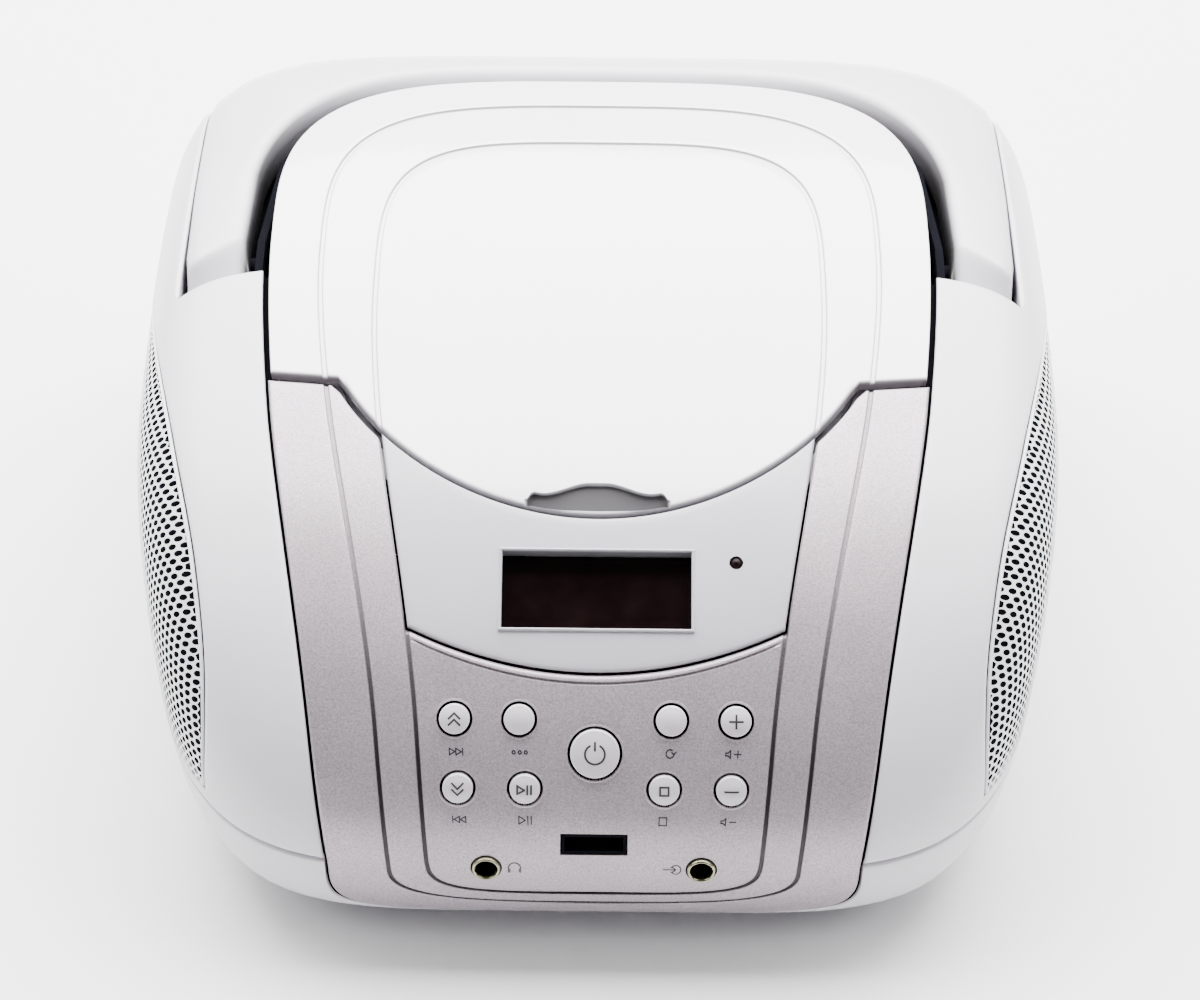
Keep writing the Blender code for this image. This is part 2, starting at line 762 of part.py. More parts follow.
def display_patch(growth, top, low):
    """Shell with the display panel's outline, grown by a gap, between two depths."""
    def half(s):
        return seam_half(s) + growth / DISPLAY_PANEL_SHARE

    def start(u):
        return meet(u, half, lambda xi: disc_circle(xi, DISPLAY_PANEL_CIRCLE + growth))

    def end(u):
        return meet(u, half, lambda xi: lid_front(xi, SEAM - 3 * growth))

    us = steps(-DISPLAY_PANEL_SHARE, DISPLAY_PANEL_SHARE, 13)
    return patch(us, steps(0, 0.94, 7) + [1.0], start, end, half, lambda u, v: (top, low),
                 None if growth else DECK_DEPTH - FIT)


def build_display_panel():
    """Whiter insert above the controls, with the sunk window frame and the lamp hole."""
    panel = place("display_panel", display_patch(0.0, 0.0, SHELL), "gloss_white")
    at = skin_frame(0, WINDOW_ALONG)
    floor = WINDOW_RECESS + WINDOW_THICKNESS + FIT
    top = SHELL / 2
    sleeve = block((WINDOW_LENGTH + 2 * SLEEVE_WALL, WINDOW_HEIGHT + 2 * SLEEVE_WALL, floor - top),
                   at @ at_point(0, 0, -(floor + top) / 2))
    join(panel, sleeve, "window_sleeve")
    holes = block((WINDOW_LENGTH, WINDOW_HEIGHT, 8 * SHELL), at)
    hole = LED_RADIUS + FIT
    lathe(((0, -2 * SHELL), (hole, -2 * SHELL), (hole, SHELL), (0, SHELL)),
          skin_frame(LED_ACROSS, LED_ALONG), SMALL_SEGMENTS, holes)
    return cut(panel, holes, "openings")


def build_display():
    """Window, display module and standby lamp behind the display panel."""
    at = skin_frame(0, WINDOW_ALONG)
    middle = WINDOW_RECESS + WINDOW_THICKNESS / 2
    place("display_window", block((WINDOW_LENGTH - 2 * FIT, WINDOW_HEIGHT - 2 * FIT, WINDOW_THICKNESS),
                                  at @ at_point(0, 0, -middle)), "dark_window")
    back = WINDOW_RECESS + WINDOW_THICKNESS + 2 * FIT
    shift = (DISPLAY_MODULE_HEIGHT - WINDOW_HEIGHT) / 2
    place("display_module", block((DISPLAY_MODULE_LENGTH, DISPLAY_MODULE_HEIGHT, DISPLAY_MODULE_THICKNESS),
                                  at @ at_point(0, shift, -back - DISPLAY_MODULE_THICKNESS / 2)),
                                  "black_plastic")
    rim = LED_RADIUS + 3 * FIT
    seat = -SHELL - FIT
    place("standby_led", lathe(((0, 2 * FIT), (LED_RADIUS * 0.7, FIT), (LED_RADIUS, -FIT), (LED_RADIUS, seat),
                                (rim, seat), (rim, 2 * seat), (LED_RADIUS, 2 * seat),
                                (LED_RADIUS, -LED_LENGTH),
                                (0, -LED_LENGTH)), skin_frame(LED_ACROSS, LED_ALONG), SMALL_SEGMENTS),
                                "red_lens")


# Buttons and their board

def button_places():
    """Name, cross position, length along the profile and radius of each button."""
    rows = []
    for side, upper, lower in ((-1, "next_button", "back_button"),
                               (1, "volume_up_button", "volume_down_button")):
        rows.append((upper, side * OUTER_COLUMN_ACROSS, UPPER_ROW_ALONG, BUTTON_RADIUS))
        rows.append((lower, side * OUTER_COLUMN_ACROSS, LOWER_ROW_ALONG, BUTTON_RADIUS))
    for side, upper, lower in ((-1, "function_button", "play_button"), (1, "repeat_button", "stop_button")):
        rows.append((upper, side * UPPER_INNER_ACROSS, UPPER_ROW_ALONG, BUTTON_RADIUS))
        rows.append((lower, side * LOWER_INNER_ACROSS, LOWER_ROW_ALONG, BUTTON_RADIUS))
    rows.append(("power_button", 0.0, POWER_ALONG, POWER_RADIUS))
    return rows


def button_board_frame():
    """Frame on the front face of the button board."""
    return skin_frame(0, POWER_ALONG) @ at_point(0, 0, -BUTTON_BOARD_DEPTH)


def run_to_board(origin, direction):
    """Distance from a point, against a direction, to the face of the button board."""
    board = button_board_frame()
    normal = board.to_3x3().col[2]
    return (origin - board.translation).dot(normal) / direction.dot(normal)


def board_posts():
    """Four posts behind the front panel that carry the button board."""
    bm = bmesh.new()
    normal = button_board_frame().to_3x3().col[2]
    for side in (-1, 1):
        for s in (UPPER_ROW_ALONG, LOWER_ROW_ALONG):
            top = skin(side * POST_ACROSS, s, SHELL / 2)
            rod(top, top - normal * (run_to_board(top, normal) - FIT), POST_RADIUS, SMALL_SEGMENTS, bm)
    return bm


def build_buttons():
    """Nine push buttons with a hidden rim and a stem that ends short of the board."""
    for name, xi, s, radius in button_places():
        at = skin_frame(xi, s)
        reach = run_to_board(at.translation, at.to_3x3().col[2]) - BUTTON_TRAVEL - FIT
        rim_top = SHELL + 4 * FIT
        rim_low = rim_top + BUTTON_RIM_THICKNESS
        rim = radius + BUTTON_RIM
        crown = [(radius * math.sin(t), BUTTON_PROUD + BUTTON_CROWN * math.cos(t))
                 for t in steps(0, math.pi / 2, 4)]
        outline = crown + [(radius, -rim_top), (rim, -rim_top), (rim, -rim_low),
                           (BUTTON_STEM_RADIUS, -rim_low),
                           (BUTTON_STEM_RADIUS, -reach), (0, -reach)]
        place(name, lathe(outline, at, SMALL_SEGMENTS), "button_silver", at)
    board = button_board_frame()
    place("button_board", block((BUTTON_BOARD_LENGTH, BUTTON_BOARD_HEIGHT, BOARD_THICKNESS),
                                board @ at_point(0, 0, -BOARD_THICKNESS / 2)), "green_board")


def build_sockets():
    """USB socket and the two round jacks of the front panel."""
    at = skin_frame(0, USB_ALONG)
    socket = place("usb_socket",
                   block((USB_LENGTH, USB_HEIGHT, USB_DEPTH), at @ at_point(0, 0, -USB_DEPTH / 2 - FIT)),
                   "black_plastic")
    cavity = (USB_LENGTH - 2 * USB_WALL, USB_HEIGHT - 2 * USB_WALL, USB_DEPTH)
    cut(socket, block(cavity, at @ at_point(0, 0, -USB_DEPTH / 2 - FIT + 2 * USB_WALL)), "cavity")
    for name, side in (("phones_jack", -1), ("aux_jack", 1)):
        seat = SHELL + 2 * FIT
        outline = ((0, -JACK_DEPTH), (JACK_BODY_RADIUS, -JACK_DEPTH), (JACK_BODY_RADIUS, -seat),
                   (JACK_RADIUS, -seat),
                   (JACK_RADIUS, FIT), (JACK_BORE_RADIUS, FIT), (JACK_BORE_RADIUS, SHELL - JACK_DEPTH),
                   (0, SHELL - JACK_DEPTH))
        place(name, lathe(outline, skin_frame(side * JACK_ACROSS, JACK_ALONG), SEGMENTS), "brass")


# Side casings, base and grilles

def pod_edge(s):
    """Inner edge of a side casing: the seam, and behind its top the outer side of the handle."""
    if s <= POD_TOP:
        return seam_half(s) + SEAM / 2
    return HANDLE_HALF_WIDTH + SEAM


def pod_lip(s):
    """Depth of the lip that a side casing turns down beside the lid and the handle."""
    if s >= POD_TOP:
        return CHANNEL_DEPTH - LIP_GAP
    return DECK_DEPTH - FIT if s >= EAR else SHELL


def pod_rows():
    """Lengths of the cross rows of a side casing."""
    low, bend = grille_corner(station(0), NARROW), station(LID_TOP_END_ANGLE)
    rows = [POD_FOOT] + steps(low, NARROW, 5) + steps(NARROW, EAR, 8)[1:] + [EAR + SEAM]
    rows += steps(EAR, POD_TOP - SHELL, 4)[1:] + [POD_TOP, POD_TOP + SEAM]
    return rows + steps(POD_TOP, bend, 6)[1:] + steps(bend, POD_REAR, 7)[1:]


def build_pod(name, side):
    """Side casing in front of and above the speaker, from the seam to the grille."""
    shares = steps(0, 1, 8)

    def point(s, w, layer):
        xi = pod_edge(s)
        first, last = cross_angle(xi), grille_angle(s, SEAM)
        angle = first + w * (last - first)
        if not layer:
            found = skin_at(angle, s)
        elif w == 0 or (s == POD_TOP and skin_at(angle, s).x < HANDLE_HALF_WIDTH + SEAM):
            lip = pod_lip(s)
            found = skin_deep(angle, s, lip, straight=lip > SHELL)
        else:
            found = skin_deep(angle, s, SHELL)
        found.x *= side
        return found
    return place(name, grid_shell(pod_rows(), shares, point), "satin_white")


def base_columns():
    """Cross columns of the base: shares of the panel's half width, then from 1 to 2 round to the grille."""
    outer = steps(1, 2, 7)[1:]
    return [-c for c in reversed(outer)] + spread(COLUMNS) + outer


def base_angle(c, s):
    """Cross angle of a base column."""
    first = cross_angle(PANEL_HALF_WIDTH)
    if abs(c) <= 1:
        return cross_angle(c * PANEL_HALF_WIDTH)
    return math.copysign(first + (abs(c) - 1) * (grille_angle(s % LOOP, SEAM) - first), c)


def base_rows():
    """Cross rows of the base: a length, and the share of the way from there to the front edge."""
    start, turn = POD_REAR + SEAM, LOOP - FRONT_TOE_RADIUS / 4
    toe, floor = PIECES[7][1], PIECES[8][1]
    corner = grille_corner(AERIAL_LOW, toe)
    rows = [start, start + 2 * SHELL, WALL_TOP, AERIAL_TOP - FIT, AERIAL_TOP + FIT, AERIAL_LOW - FIT]
    rows += [AERIAL_LOW + FIT, corner] + steps(toe, floor, 4) + steps(floor, turn, 6)[1:]
    return [(s, 0.0) for s in rows] + [(turn, share) for share in steps(0, 1, 5)[1:]]


def base_front(c):
    """Length of the base's front edge at a column."""
    if abs(c) > 1:
        return LOOP + POD_FOOT - SEAM
    return LOOP + min(panel_bottom(c), POD_FOOT) - SEAM


def aerial_sink(xi):
    """Depth of the aerial's recess, which runs out towards both sides so that the aerial can be drawn out."""
    share = (AERIAL_RUN_OUT - xi) / (AERIAL_RUN_OUT - AERIAL_RECESS_HALF_WIDTH)
    return AERIAL_RECESS_DEPTH * min(max(share, 0.0), 1.0)


def build_base():
    """Lower and rear casing, with the aerial's recess, the bays' openings and the board's standoffs."""
    start = POD_REAR + SEAM

    def point(value, c, layer):
        s = value[0] + value[1] * (base_front(c) - value[0])
        angle = base_angle(c, s)
        xi = HALF_WIDTH * abs(math.sin(angle)) ** (2 / SIDE_FULLNESS)
        sunk = aerial_sink(xi) if AERIAL_TOP < s < AERIAL_LOW else 0.0
        if layer and s == start and xi < HANDLE_HALF_WIDTH + SEAM:
            return skin_deep(angle, s, CHANNEL_DEPTH - LIP_GAP, straight=True)
        return skin_deep(angle, s, sunk + layer * SHELL)
    base = place("base_cabinet", grid_shell(base_rows(), base_columns(), point), "satin_white")
    posts = bmesh.new()
    for x, y in main_board_corners():
        rod(Vector((x, y, FOOT_HEIGHT + SHELL / 2)), Vector((x, y, MAIN_BOARD_Z - FIT)), STANDOFF_RADIUS,
            SMALL_SEGMENTS, posts)
    join(base, posts, "standoffs")
    holes = bmesh.new()
    bay = BATTERY_BAY_SIZE
    low, high = BATTERY_BAY_Y - bay[1] / 2, BATTERY_BAY_Y + bay[1] / 2 + BATTERY_DOOR_TRAVEL
    block((bay[0], high - low, 4 * FOOT_HEIGHT), at_point(0, (low + high) / 2, FOOT_HEIGHT), holes)
    wall = profile(WALL_TOP)[0]
    block((INLET_SIZE[0] + 2 * FIT, 4 * SHELL, INLET_SIZE[2] + 2 * FIT), at_point(INLET_X, wall, INLET_Z),
          holes)
    for x, y in foot_places():
        rod(Vector((x, y, 0)), Vector((x, y, 2 * FOOT_HEIGHT + SHELL)), FOOT_PEG_RADIUS + FIT,
            SMALL_SEGMENTS, holes)
    return cut(base, holes, "openings")


def grille_rays():
    """Lengths of the grille's rays: the rows of its neighbours, without the ones that lie close together."""
    rows = pod_rows() + [s + share * (base_front(2) - s) for s, share in base_rows()]
    kept = []
    for s in rows:
        if not kept or s - kept[-1] > SHELL:
            kept.append(s)
    return kept


def build_grille(name, side):
    """Domed speaker grille that fills the half oval between a side casing and the base."""
    rays = grille_rays()
    shares = (0.35, 0.7, 1.0)
    bm = bmesh.new()
    layers = []
    for depth in (0.0, GRILLE_THICKNESS):
        rings = []
        for w in shares:
            ring = []
            for s in rays:
                y, z = profile(s)
                ray = math.hypot(y - SIDE_CENTRE_Y, z - SIDE_CENTRE_Z)
                share = w * (grille_share(s) - SEAM / ray)
                found = skin_deep(math.acos(share ** (SIDE_FULLNESS / 2)), s, depth)
                ring.append(bm.verts.new((found.x * side, found.y, found.z)))
            rings.append(ring)
        tip = skin_at(math.pi / 2, 0.0)
        rings.insert(0, [bm.verts.new(((tip.x - depth) * side, tip.y, tip.z))])
        layers.append(rings)
    count = len(rays)
    for rings in layers:
        for one, two in zip(rings, rings[1:]):
            for i in range(count):
                k = (i + 1) % count
                corners = [one[i % len(one)], one[k % len(one)], two[k], two[i]]
                bm.faces.new(list(dict.fromkeys(corners)))
    outer, inner = layers[0][-1], layers[1][-1]
    for i in range(count):
        k = (i + 1) % count
        bm.faces.new((outer[i], outer[k], inner[k], inner[i]))
    return place(name, bm, "grille_white")


# Handle and its channel

def fan_angle(angle):
    """Angle moved half way towards the one that crowds the rows into the corners of the U."""
    power = 2 / HANDLE_CORNER_POWER
    c, n = math.cos(angle), math.sin(angle)
    crowded = math.atan2(n ** power, math.copysign(abs(c) ** power, c))
    return (angle + crowded) / 2


def u_rows(start, nose=()):
    """Rows round the handle's U from the left arm to the right: (side, length) or a fan angle."""
    arm = [start + n for n in nose] + steps(start + (nose[-1] if nose else 0.0), WIDEST, 4)[1 if nose else 0:]
    rows = [(-1, s) for s in arm]
    rows += [fan_angle(math.pi * (1 - t)) for t in steps(0, 1, 20)[1:-1]]
    rows += [(1, s) for s in reversed(arm)]
    return rows


def u_edge(row, half, reach, power):
    """Point (xi, s) of one edge of the U at a row."""
    if isinstance(row, tuple):
        return row[0] * half, row[1]
    c, n = math.cos(row), math.sin(row)
    radius = ((abs(c) / half) ** power + (n / reach) ** power) ** (-1 / power)
    return radius * c, WIDEST + radius * n


def u_point(row, w, inner, outer):
    """Point (xi, s) across the U, from its inner edge to its outer edge."""
    one, two = u_edge(row, *inner), u_edge(row, *outer)
    return one[0] + w * (two[0] - one[0]), one[1] + w * (two[1] - one[1])


def handle_pivot():
    """Point of the handle's pivot axis, above the middle of the body; the axis runs along X."""
    nose = skin(LID_HALF_WIDTH + HANDLE_LID_GAP, HANDLE_START + HANDLE_THICKNESS / 2, HANDLE_PIVOT_DEPTH,
                True)
    return Vector((0, nose.y, nose.z))


def build_handle():
    """Carrying handle: two arms and a cross bar, round at the pivots, with its pivot pins."""
    radius = HANDLE_THICKNESS / 2
    bends = [math.radians(t) for t in (20, 45, 70, 90)]
    nose = [radius * (1 - math.cos(t)) for t in bends]
    inner = (LID_HALF_WIDTH + HANDLE_LID_GAP, LID_REAR - WIDEST + HANDLE_LID_GAP, LID_CORNER_POWER)
    outer = (HANDLE_HALF_WIDTH, HANDLE_REAR - WIDEST, HANDLE_CORNER_POWER)

    def point(row, w, layer):
        xi, s = u_point(row, w, inner, outer)
        along = s - HANDLE_START if isinstance(row, tuple) else radius
        thick = math.sqrt(max(radius ** 2 - max(radius - along, 0.0) ** 2, 0.0))
        edge = HANDLE_CHAMFER * thick / radius if w in (0, 1) else 0.0
        depth = radius + thick if layer else radius - thick + edge
        return skin(xi, s, depth, straight=True)
    pivot = handle_pivot()
    shares = (0, 0.1, 0.3, 0.5, 0.7, 0.9, 1)
    handle = place("handle", grid_shell(u_rows(HANDLE_START, nose), shares, point), "satin_white",
                   Matrix.Translation(pivot))
    pins = bmesh.new()
    face = LID_HALF_WIDTH + HANDLE_LID_GAP
    root = face + HANDLE_PIN_SHARE * (HANDLE_HALF_WIDTH - face)
    for side in (-1, 1):
        rod(Vector((side * root, pivot.y, pivot.z)),
            Vector((side * (LID_HALF_WIDTH + SEAM), pivot.y, pivot.z)), HANDLE_PIN_RADIUS, SMALL_SEGMENTS,
            pins)
    return join(handle, pins, "pivot_pins")


def build_handle_recess():
    """Channel that the folded handle lies in, with the wall beside the lid that carries the pivot pins."""
    inner = (LID_HALF_WIDTH + SEAM, LID_REAR - WIDEST + SEAM, LID_CORNER_POWER)
    outer = (HANDLE_HALF_WIDTH + SEAM + TUCK, POD_REAR - WIDEST + SEAM + TUCK, HANDLE_CORNER_POWER)
    foot = CHANNEL_WALL + SEAM
    columns = [(0.0, 0.0, True), (CHANNEL_WALL, 0.0, True)] + [(foot, w, False) for w in steps(0, 1, 6)]

    def point(row, column, layer):
        offset, w, on_wall = column
        xi, s = u_point(row, w, (inner[0] + offset, inner[1] + offset, inner[2]), outer)
        rear = 0.0 if isinstance(row, tuple) else math.sin(row)
        rise = CHANNEL_WALL_ARM_DEPTH + (CHANNEL_WALL_REAR_DEPTH - CHANNEL_WALL_ARM_DEPTH) * rear
        depth = rise if on_wall else CHANNEL_DEPTH
        return skin(xi, s, CHANNEL_DEPTH + SHELL if layer else depth, straight=True)
    recess = place("handle_recess", grid_shell(u_rows(POD_TOP + SEAM), columns, point), "black_plastic")
    pivot = handle_pivot()
    holes = bmesh.new()
    for side in (-1, 1):
        rod(Vector((side * (LID_HALF_WIDTH - TUCK), pivot.y, pivot.z)),
            Vector((side * (LID_HALF_WIDTH + HANDLE_LID_GAP), pivot.y, pivot.z)), HANDLE_PIN_RADIUS + FIT,
            SMALL_SEGMENTS, holes)
    return cut(recess, holes, "pivot_holes")


# Deck, well and mechanism

def disc_y():
    """Front to back place of the spindle."""
    return skin(0, DISC).y


def well_radius():
    """Outer radius of the well's wall."""
    return DISC_RADIUS + DISC_CLEARANCE + WELL_WALL


def surface_z(y, depth):
    """Height under the middle of the lid at a front to back place."""
    low, high = station(CONTROL_END_ANGLE), LID_REAR
    for _ in range(40):
        middle = (low + high) / 2
        if skin(0, middle, depth).y < y:
            low = middle
        else:
            high = middle
    return skin(0, low, depth).z


def well_floor():
    """Height of the well's floor: the least wall stands at the front."""
    return surface_z(disc_y() - well_radius(), DECK_DEPTH) - WELL_LEAST_WALL


def chassis_top():
    """Height of the mechanism plate's upper face."""
    return well_floor() - SHELL - DAMPER_HEIGHT - 2 * FIT


def build_deck():
    """Tray under the lid, with the hole for the well and the brackets of the lid's hinge."""
    def half(s):
        return seam_half(s) + (TUCK if s < (EAR + POD_TOP) / 2 else -SEAM)
    bm = lid_patch(spread(COLUMNS), steps(0, 1, 15), lambda u, v: (DECK_DEPTH, DECK_DEPTH + SHELL),
                   DECK_FRONT_TUCK, EAR_GAP + TUCK, -SEAM, half)
    deck = place("cd_deck", bm, "satin_white")
    axis = hinge_axis()
    brackets, eyes = bmesh.new(), bmesh.new()
    low = surface_z(axis.y, DECK_DEPTH + SHELL / 2)
    for side in (-1, 1):
        x = side * (HINGE_LUG_OUTER_X + HINGE_PIN_LENGTH / 2)
        width = 2 * BRACKET_RADIUS - 2 * FIT
        block((BRACKET_THICKNESS, width, axis.z - low), at_point(x, axis.y, (axis.z + low) / 2), brackets)
        half = Vector((BRACKET_THICKNESS / 2 + FIT / 3, 0, 0))
        middle = Vector((x, axis.y, axis.z))
        rod(middle - half, middle + half, BRACKET_RADIUS, SMALL_SEGMENTS, eyes)
    join(deck, brackets, "hinge_brackets")
    join(deck, eyes, "hinge_eyes")
    holes = bmesh.new()
    reach = HINGE_LUG_OUTER_X + 2 * HINGE_PIN_LENGTH
    for side in (-1, 1):
        rod(Vector((side * HINGE_LUG_OUTER_X, axis.y, axis.z)), Vector((side * reach, axis.y, axis.z)),
            HINGE_PIN_RADIUS + FIT, SMALL_SEGMENTS, holes)
    well = well_radius() + FIT
    rod(Vector((0, disc_y(), well_floor() - SHELL)), Vector((0, disc_y(), 2 * SIDE_CENTRE_Z + DISC_RADIUS)),
        well,
        WELL_SEGMENTS, holes)
    return cut(deck, holes, "openings")


def build_well():
    """Round well for the disc, its wall trimmed to the deck, its floor open for the hub and the pickup."""
    y, floor, outer = disc_y(), well_floor(), well_radius()
    inner = outer - WELL_WALL
    roof = floor + DISC_RADIUS / 2
    outline = ((0, floor - SHELL), (outer, floor - SHELL), (outer, roof), (inner, roof), (inner, floor),
               (0, floor))
    well = place("cd_well", lathe(outline, at_point(0, y, 0), WELL_SEGMENTS), "grey_plastic")
    lid_space = lid_patch(steps(-1, 1, COLUMNS), steps(0, 1, 15), lambda u, v: (-DISC_RADIUS / 2, DECK_DEPTH),
                          DECK_FRONT_TUCK + TUCK, EAR_GAP, TUCK)
    cut(well, lid_space, "lid_space")
    holes = rod(Vector((0, y, floor - 2 * SHELL)), Vector((0, y, floor + SHELL)), WELL_HUB_HOLE, SEGMENTS)
    cut(well, holes, "hub_hole")
    slot = block((PICKUP_SLOT_WIDTH, PICKUP_SLOT_REACH, 4 * SHELL),
                 at_point(0, y - PICKUP_SLOT_REACH / 2, floor - SHELL / 2))
    return cut(well, slot, "pickup_slot")


def gear_outline(teeth, first):
    """Outline of a spur gear whose first tooth, or gap, points along +X."""
    radius = GEAR_MODULE * teeth / 2
    points = []
    for i in range(teeth):
        middle = math.tau * (i + first) / teeth
        for share, height in ((-0.29, -1.05), (-0.12, 0.75), (0.12, 0.75), (0.29, -1.05)):
            angle = middle + share * math.tau / teeth
            reach = radius + height * GEAR_MODULE
            points.append((reach * math.cos(angle), reach * math.sin(angle)))
    return points


def gear_centre():
    """Axis of the sled's gear: its pitch circle touches the rack's pitch line."""
    rack = -SLED_HALF_WIDTH - 2 * GEAR_MODULE
    return Vector((rack - GEAR_MODULE * GEAR_TEETH / 2, disc_y() - GEAR_RADIUS_FROM_SPINDLE, 0))


def pinion_centre():
    """Axis of the motor's pinion, beside the sled's gear."""
    return gear_centre() - Vector((GEAR_MODULE * (GEAR_TEETH + PINION_TEETH) / 2, 0, 0))


def sled_outline():
    """Plan of the sled with its rack, relative to the spindle."""
    front = -SLED_START_RADIUS - SLED_LENGTH / 2
    rear = front + SLED_LENGTH
    pitch = math.pi * GEAR_MODULE
    rack = -SLED_HALF_WIDTH - 2 * GEAR_MODULE
    back = rack + GEAR_MODULE * 1.05
    tip = rack - GEAR_MODULE * 0.75
    gear = -GEAR_RADIUS_FROM_SPINDLE
    behind = math.ceil((SLED_TRAVEL + 2 * pitch) / pitch)
    spine = HUB_RADIUS + 2 * GEAR_MODULE
    points = [(SLED_HALF_WIDTH, front), (SLED_HALF_WIDTH, rear), (-spine, rear)]
    points += [(-spine, gear + behind * pitch), (back, gear + behind * pitch)]
    for i in range(behind - 1, -3, -1):
        middle = gear + (i + 0.5) * pitch
        points += [(back, middle + 0.29 * pitch), (tip, middle + 0.12 * pitch), (tip, middle - 0.12 * pitch),
                   (back, middle - 0.29 * pitch)]
    points.append((back, front))
    return points


def damper_places():
    """Plan of the three rubber dampers, relative to the spindle."""
    side = CHASSIS_RIGHT - DAMPER_RADIUS
    return ((side, DAMPER_RADIUS - CHASSIS_FRONT + ROD_BLOCK),
            (-side, DAMPER_RADIUS - CHASSIS_FRONT + ROD_BLOCK),
            (0.0, CHASSIS_REAR - DAMPER_RADIUS))


def build_mechanism():
    """CD mechanism below the well: plate, dampers, motors, turntable, sled, lens, rod and gears."""
    y, floor, top = disc_y(), well_floor(), chassis_top()
    low = top - CHASSIS_THICKNESS
    gear, pinion = gear_centre(), pinion_centre()
    spindle = Vector((0, y, 0))
    up = Vector((0, 0, 1))
    plate_size = (CHASSIS_LEFT + CHASSIS_RIGHT, CHASSIS_FRONT + CHASSIS_REAR, CHASSIS_THICKNESS)
    plate_middle = at_point((CHASSIS_RIGHT - CHASSIS_LEFT) / 2, y + (CHASSIS_REAR - CHASSIS_FRONT) / 2,
                            (top + low) / 2)
    chassis = place("mechanism_chassis", block(plate_size, plate_middle), "dark_steel")
    rod_front, rod_rear = y - CHASSIS_FRONT + ROD_BLOCK / 2, y - HUB_RADIUS - ROD_BLOCK
    fixings = bmesh.new()
    block_height = ROD_HEIGHT + 2 * ROD_RADIUS + CHASSIS_THICKNESS / 2
    for end in (rod_front, rod_rear):
        block((2 * ROD_BLOCK, ROD_BLOCK, block_height),
              at_point(ROD_ACROSS, end, low + CHASSIS_THICKNESS / 2 + block_height / 2), fixings)
    stub = GEAR_MODULE * 1.4
    gear_low = top + 2 * FIT
    rod(gear + (low + CHASSIS_THICKNESS / 2) * up, gear + (gear_low + GEAR_THICKNESS + FIT) * up, stub,
        SMALL_SEGMENTS,
        fixings)
    join(chassis, fixings, "fixings")
    holes = bmesh.new()
    rod(Vector((ROD_ACROSS, rod_front - ROD_BLOCK / 4, top + ROD_HEIGHT)),
        Vector((ROD_ACROSS, rod_rear + ROD_BLOCK / 4, top + ROD_HEIGHT)), ROD_RADIUS + FIT, SMALL_SEGMENTS,
        holes)
    for centre in (spindle, pinion):
        rod(centre + (low - SHELL) * up, centre + (top + SHELL / 4) * up, SHAFT_RADIUS + 2 * FIT,
            SMALL_SEGMENTS, holes)
    cut(chassis, holes, "bores")
    place("guide_rod", rod(Vector((ROD_ACROSS, rod_front - ROD_BLOCK / 4 + FIT, top + ROD_HEIGHT)),
                           Vector((ROD_ACROSS, rod_rear + ROD_BLOCK / 4 - FIT, top + ROD_HEIGHT)),
                           ROD_RADIUS),
          "bright_steel")
    for number, (x, dy) in enumerate(damper_places(), 1):
        waist = DAMPER_RADIUS * 0.7
        outline = ((0, FIT), (DAMPER_RADIUS, FIT), (waist, DAMPER_HEIGHT / 2),
                   (DAMPER_RADIUS, DAMPER_HEIGHT + FIT),
                   (0, DAMPER_HEIGHT + FIT))
        place("damper_%d" % number, lathe(outline, at_point(x, y + dy, top), SMALL_SEGMENTS), "rubber")
    build_motor("spindle_motor", spindle, low - FIT, SPINDLE_MOTOR_RADIUS, SPINDLE_MOTOR_HEIGHT)
    build_motor("sled_motor", pinion, low - FIT, SLED_MOTOR_RADIUS, SLED_MOTOR_HEIGHT)
    shaft_low = low - FIT - SHAFT_SINK
    rise = floor + TURNTABLE_RISE
    table = ((0, shaft_low), (SHAFT_RADIUS, shaft_low), (SHAFT_RADIUS, top + SHELL),
             (HUB_RADIUS, top + SHELL),
             (HUB_RADIUS, floor - SHELL / 2), (TURNTABLE_RADIUS, floor - SHELL / 2), (TURNTABLE_RADIUS, rise),
             (SPIGOT_RADIUS, rise), (SPIGOT_RADIUS, rise + SPIGOT_HEIGHT * 0.6),
             (SPIGOT_RADIUS * 0.7, rise + SPIGOT_HEIGHT), (0, rise + SPIGOT_HEIGHT))
    place("turntable", lathe(table, at_point(0, y, 0), SEGMENTS), "black_plastic", at_point(0, y, rise))
    sled_at = at_point(0, y - SLED_START_RADIUS, top)
    sled_low = top + 2 * FIT
    sled = place("pickup_sled", prism(sled_outline(), at_point(0, y, 0), sled_low, sled_low + SLED_HEIGHT),
                 "black_plastic", sled_at)
    cut(sled, rod(Vector((ROD_ACROSS, rod_front, top + ROD_HEIGHT)),
                  Vector((ROD_ACROSS, rod_rear, top + ROD_HEIGHT)),
                  ROD_RADIUS + FIT), "rod_bore")
    lens_low = sled_low + SLED_HEIGHT + FIT
    lens = ((0, 0), (LENS_RADIUS, 0), (LENS_RADIUS, LENS_HEIGHT * 0.5),
            (LENS_RADIUS * 0.7, LENS_HEIGHT * 0.8),
            (0, LENS_HEIGHT))
    place("pickup_lens", lathe(lens, at_point(0, y - SLED_START_RADIUS, lens_low), SMALL_SEGMENTS),
          "clear_lens", sled_at)
    wheel = place("sled_gear", prism(gear_outline(GEAR_TEETH, 0), Matrix.Translation(gear), gear_low,
                                     gear_low + GEAR_THICKNESS), "white_nylon",
                                     Matrix.Translation(gear + gear_low * up))
    cut(wheel, rod(gear + top * up, gear + floor * up, stub + FIT), "bore")
    small = place("motor_pinion", prism(gear_outline(PINION_TEETH, 0.5), Matrix.Translation(pinion), gear_low,
                                        gear_low + GEAR_THICKNESS), "brass",
                                        Matrix.Translation(pinion + gear_low * up))
    join(small, rod(pinion + shaft_low * up, pinion + (gear_low + GEAR_THICKNESS / 2) * up, SHAFT_RADIUS),
         "shaft")


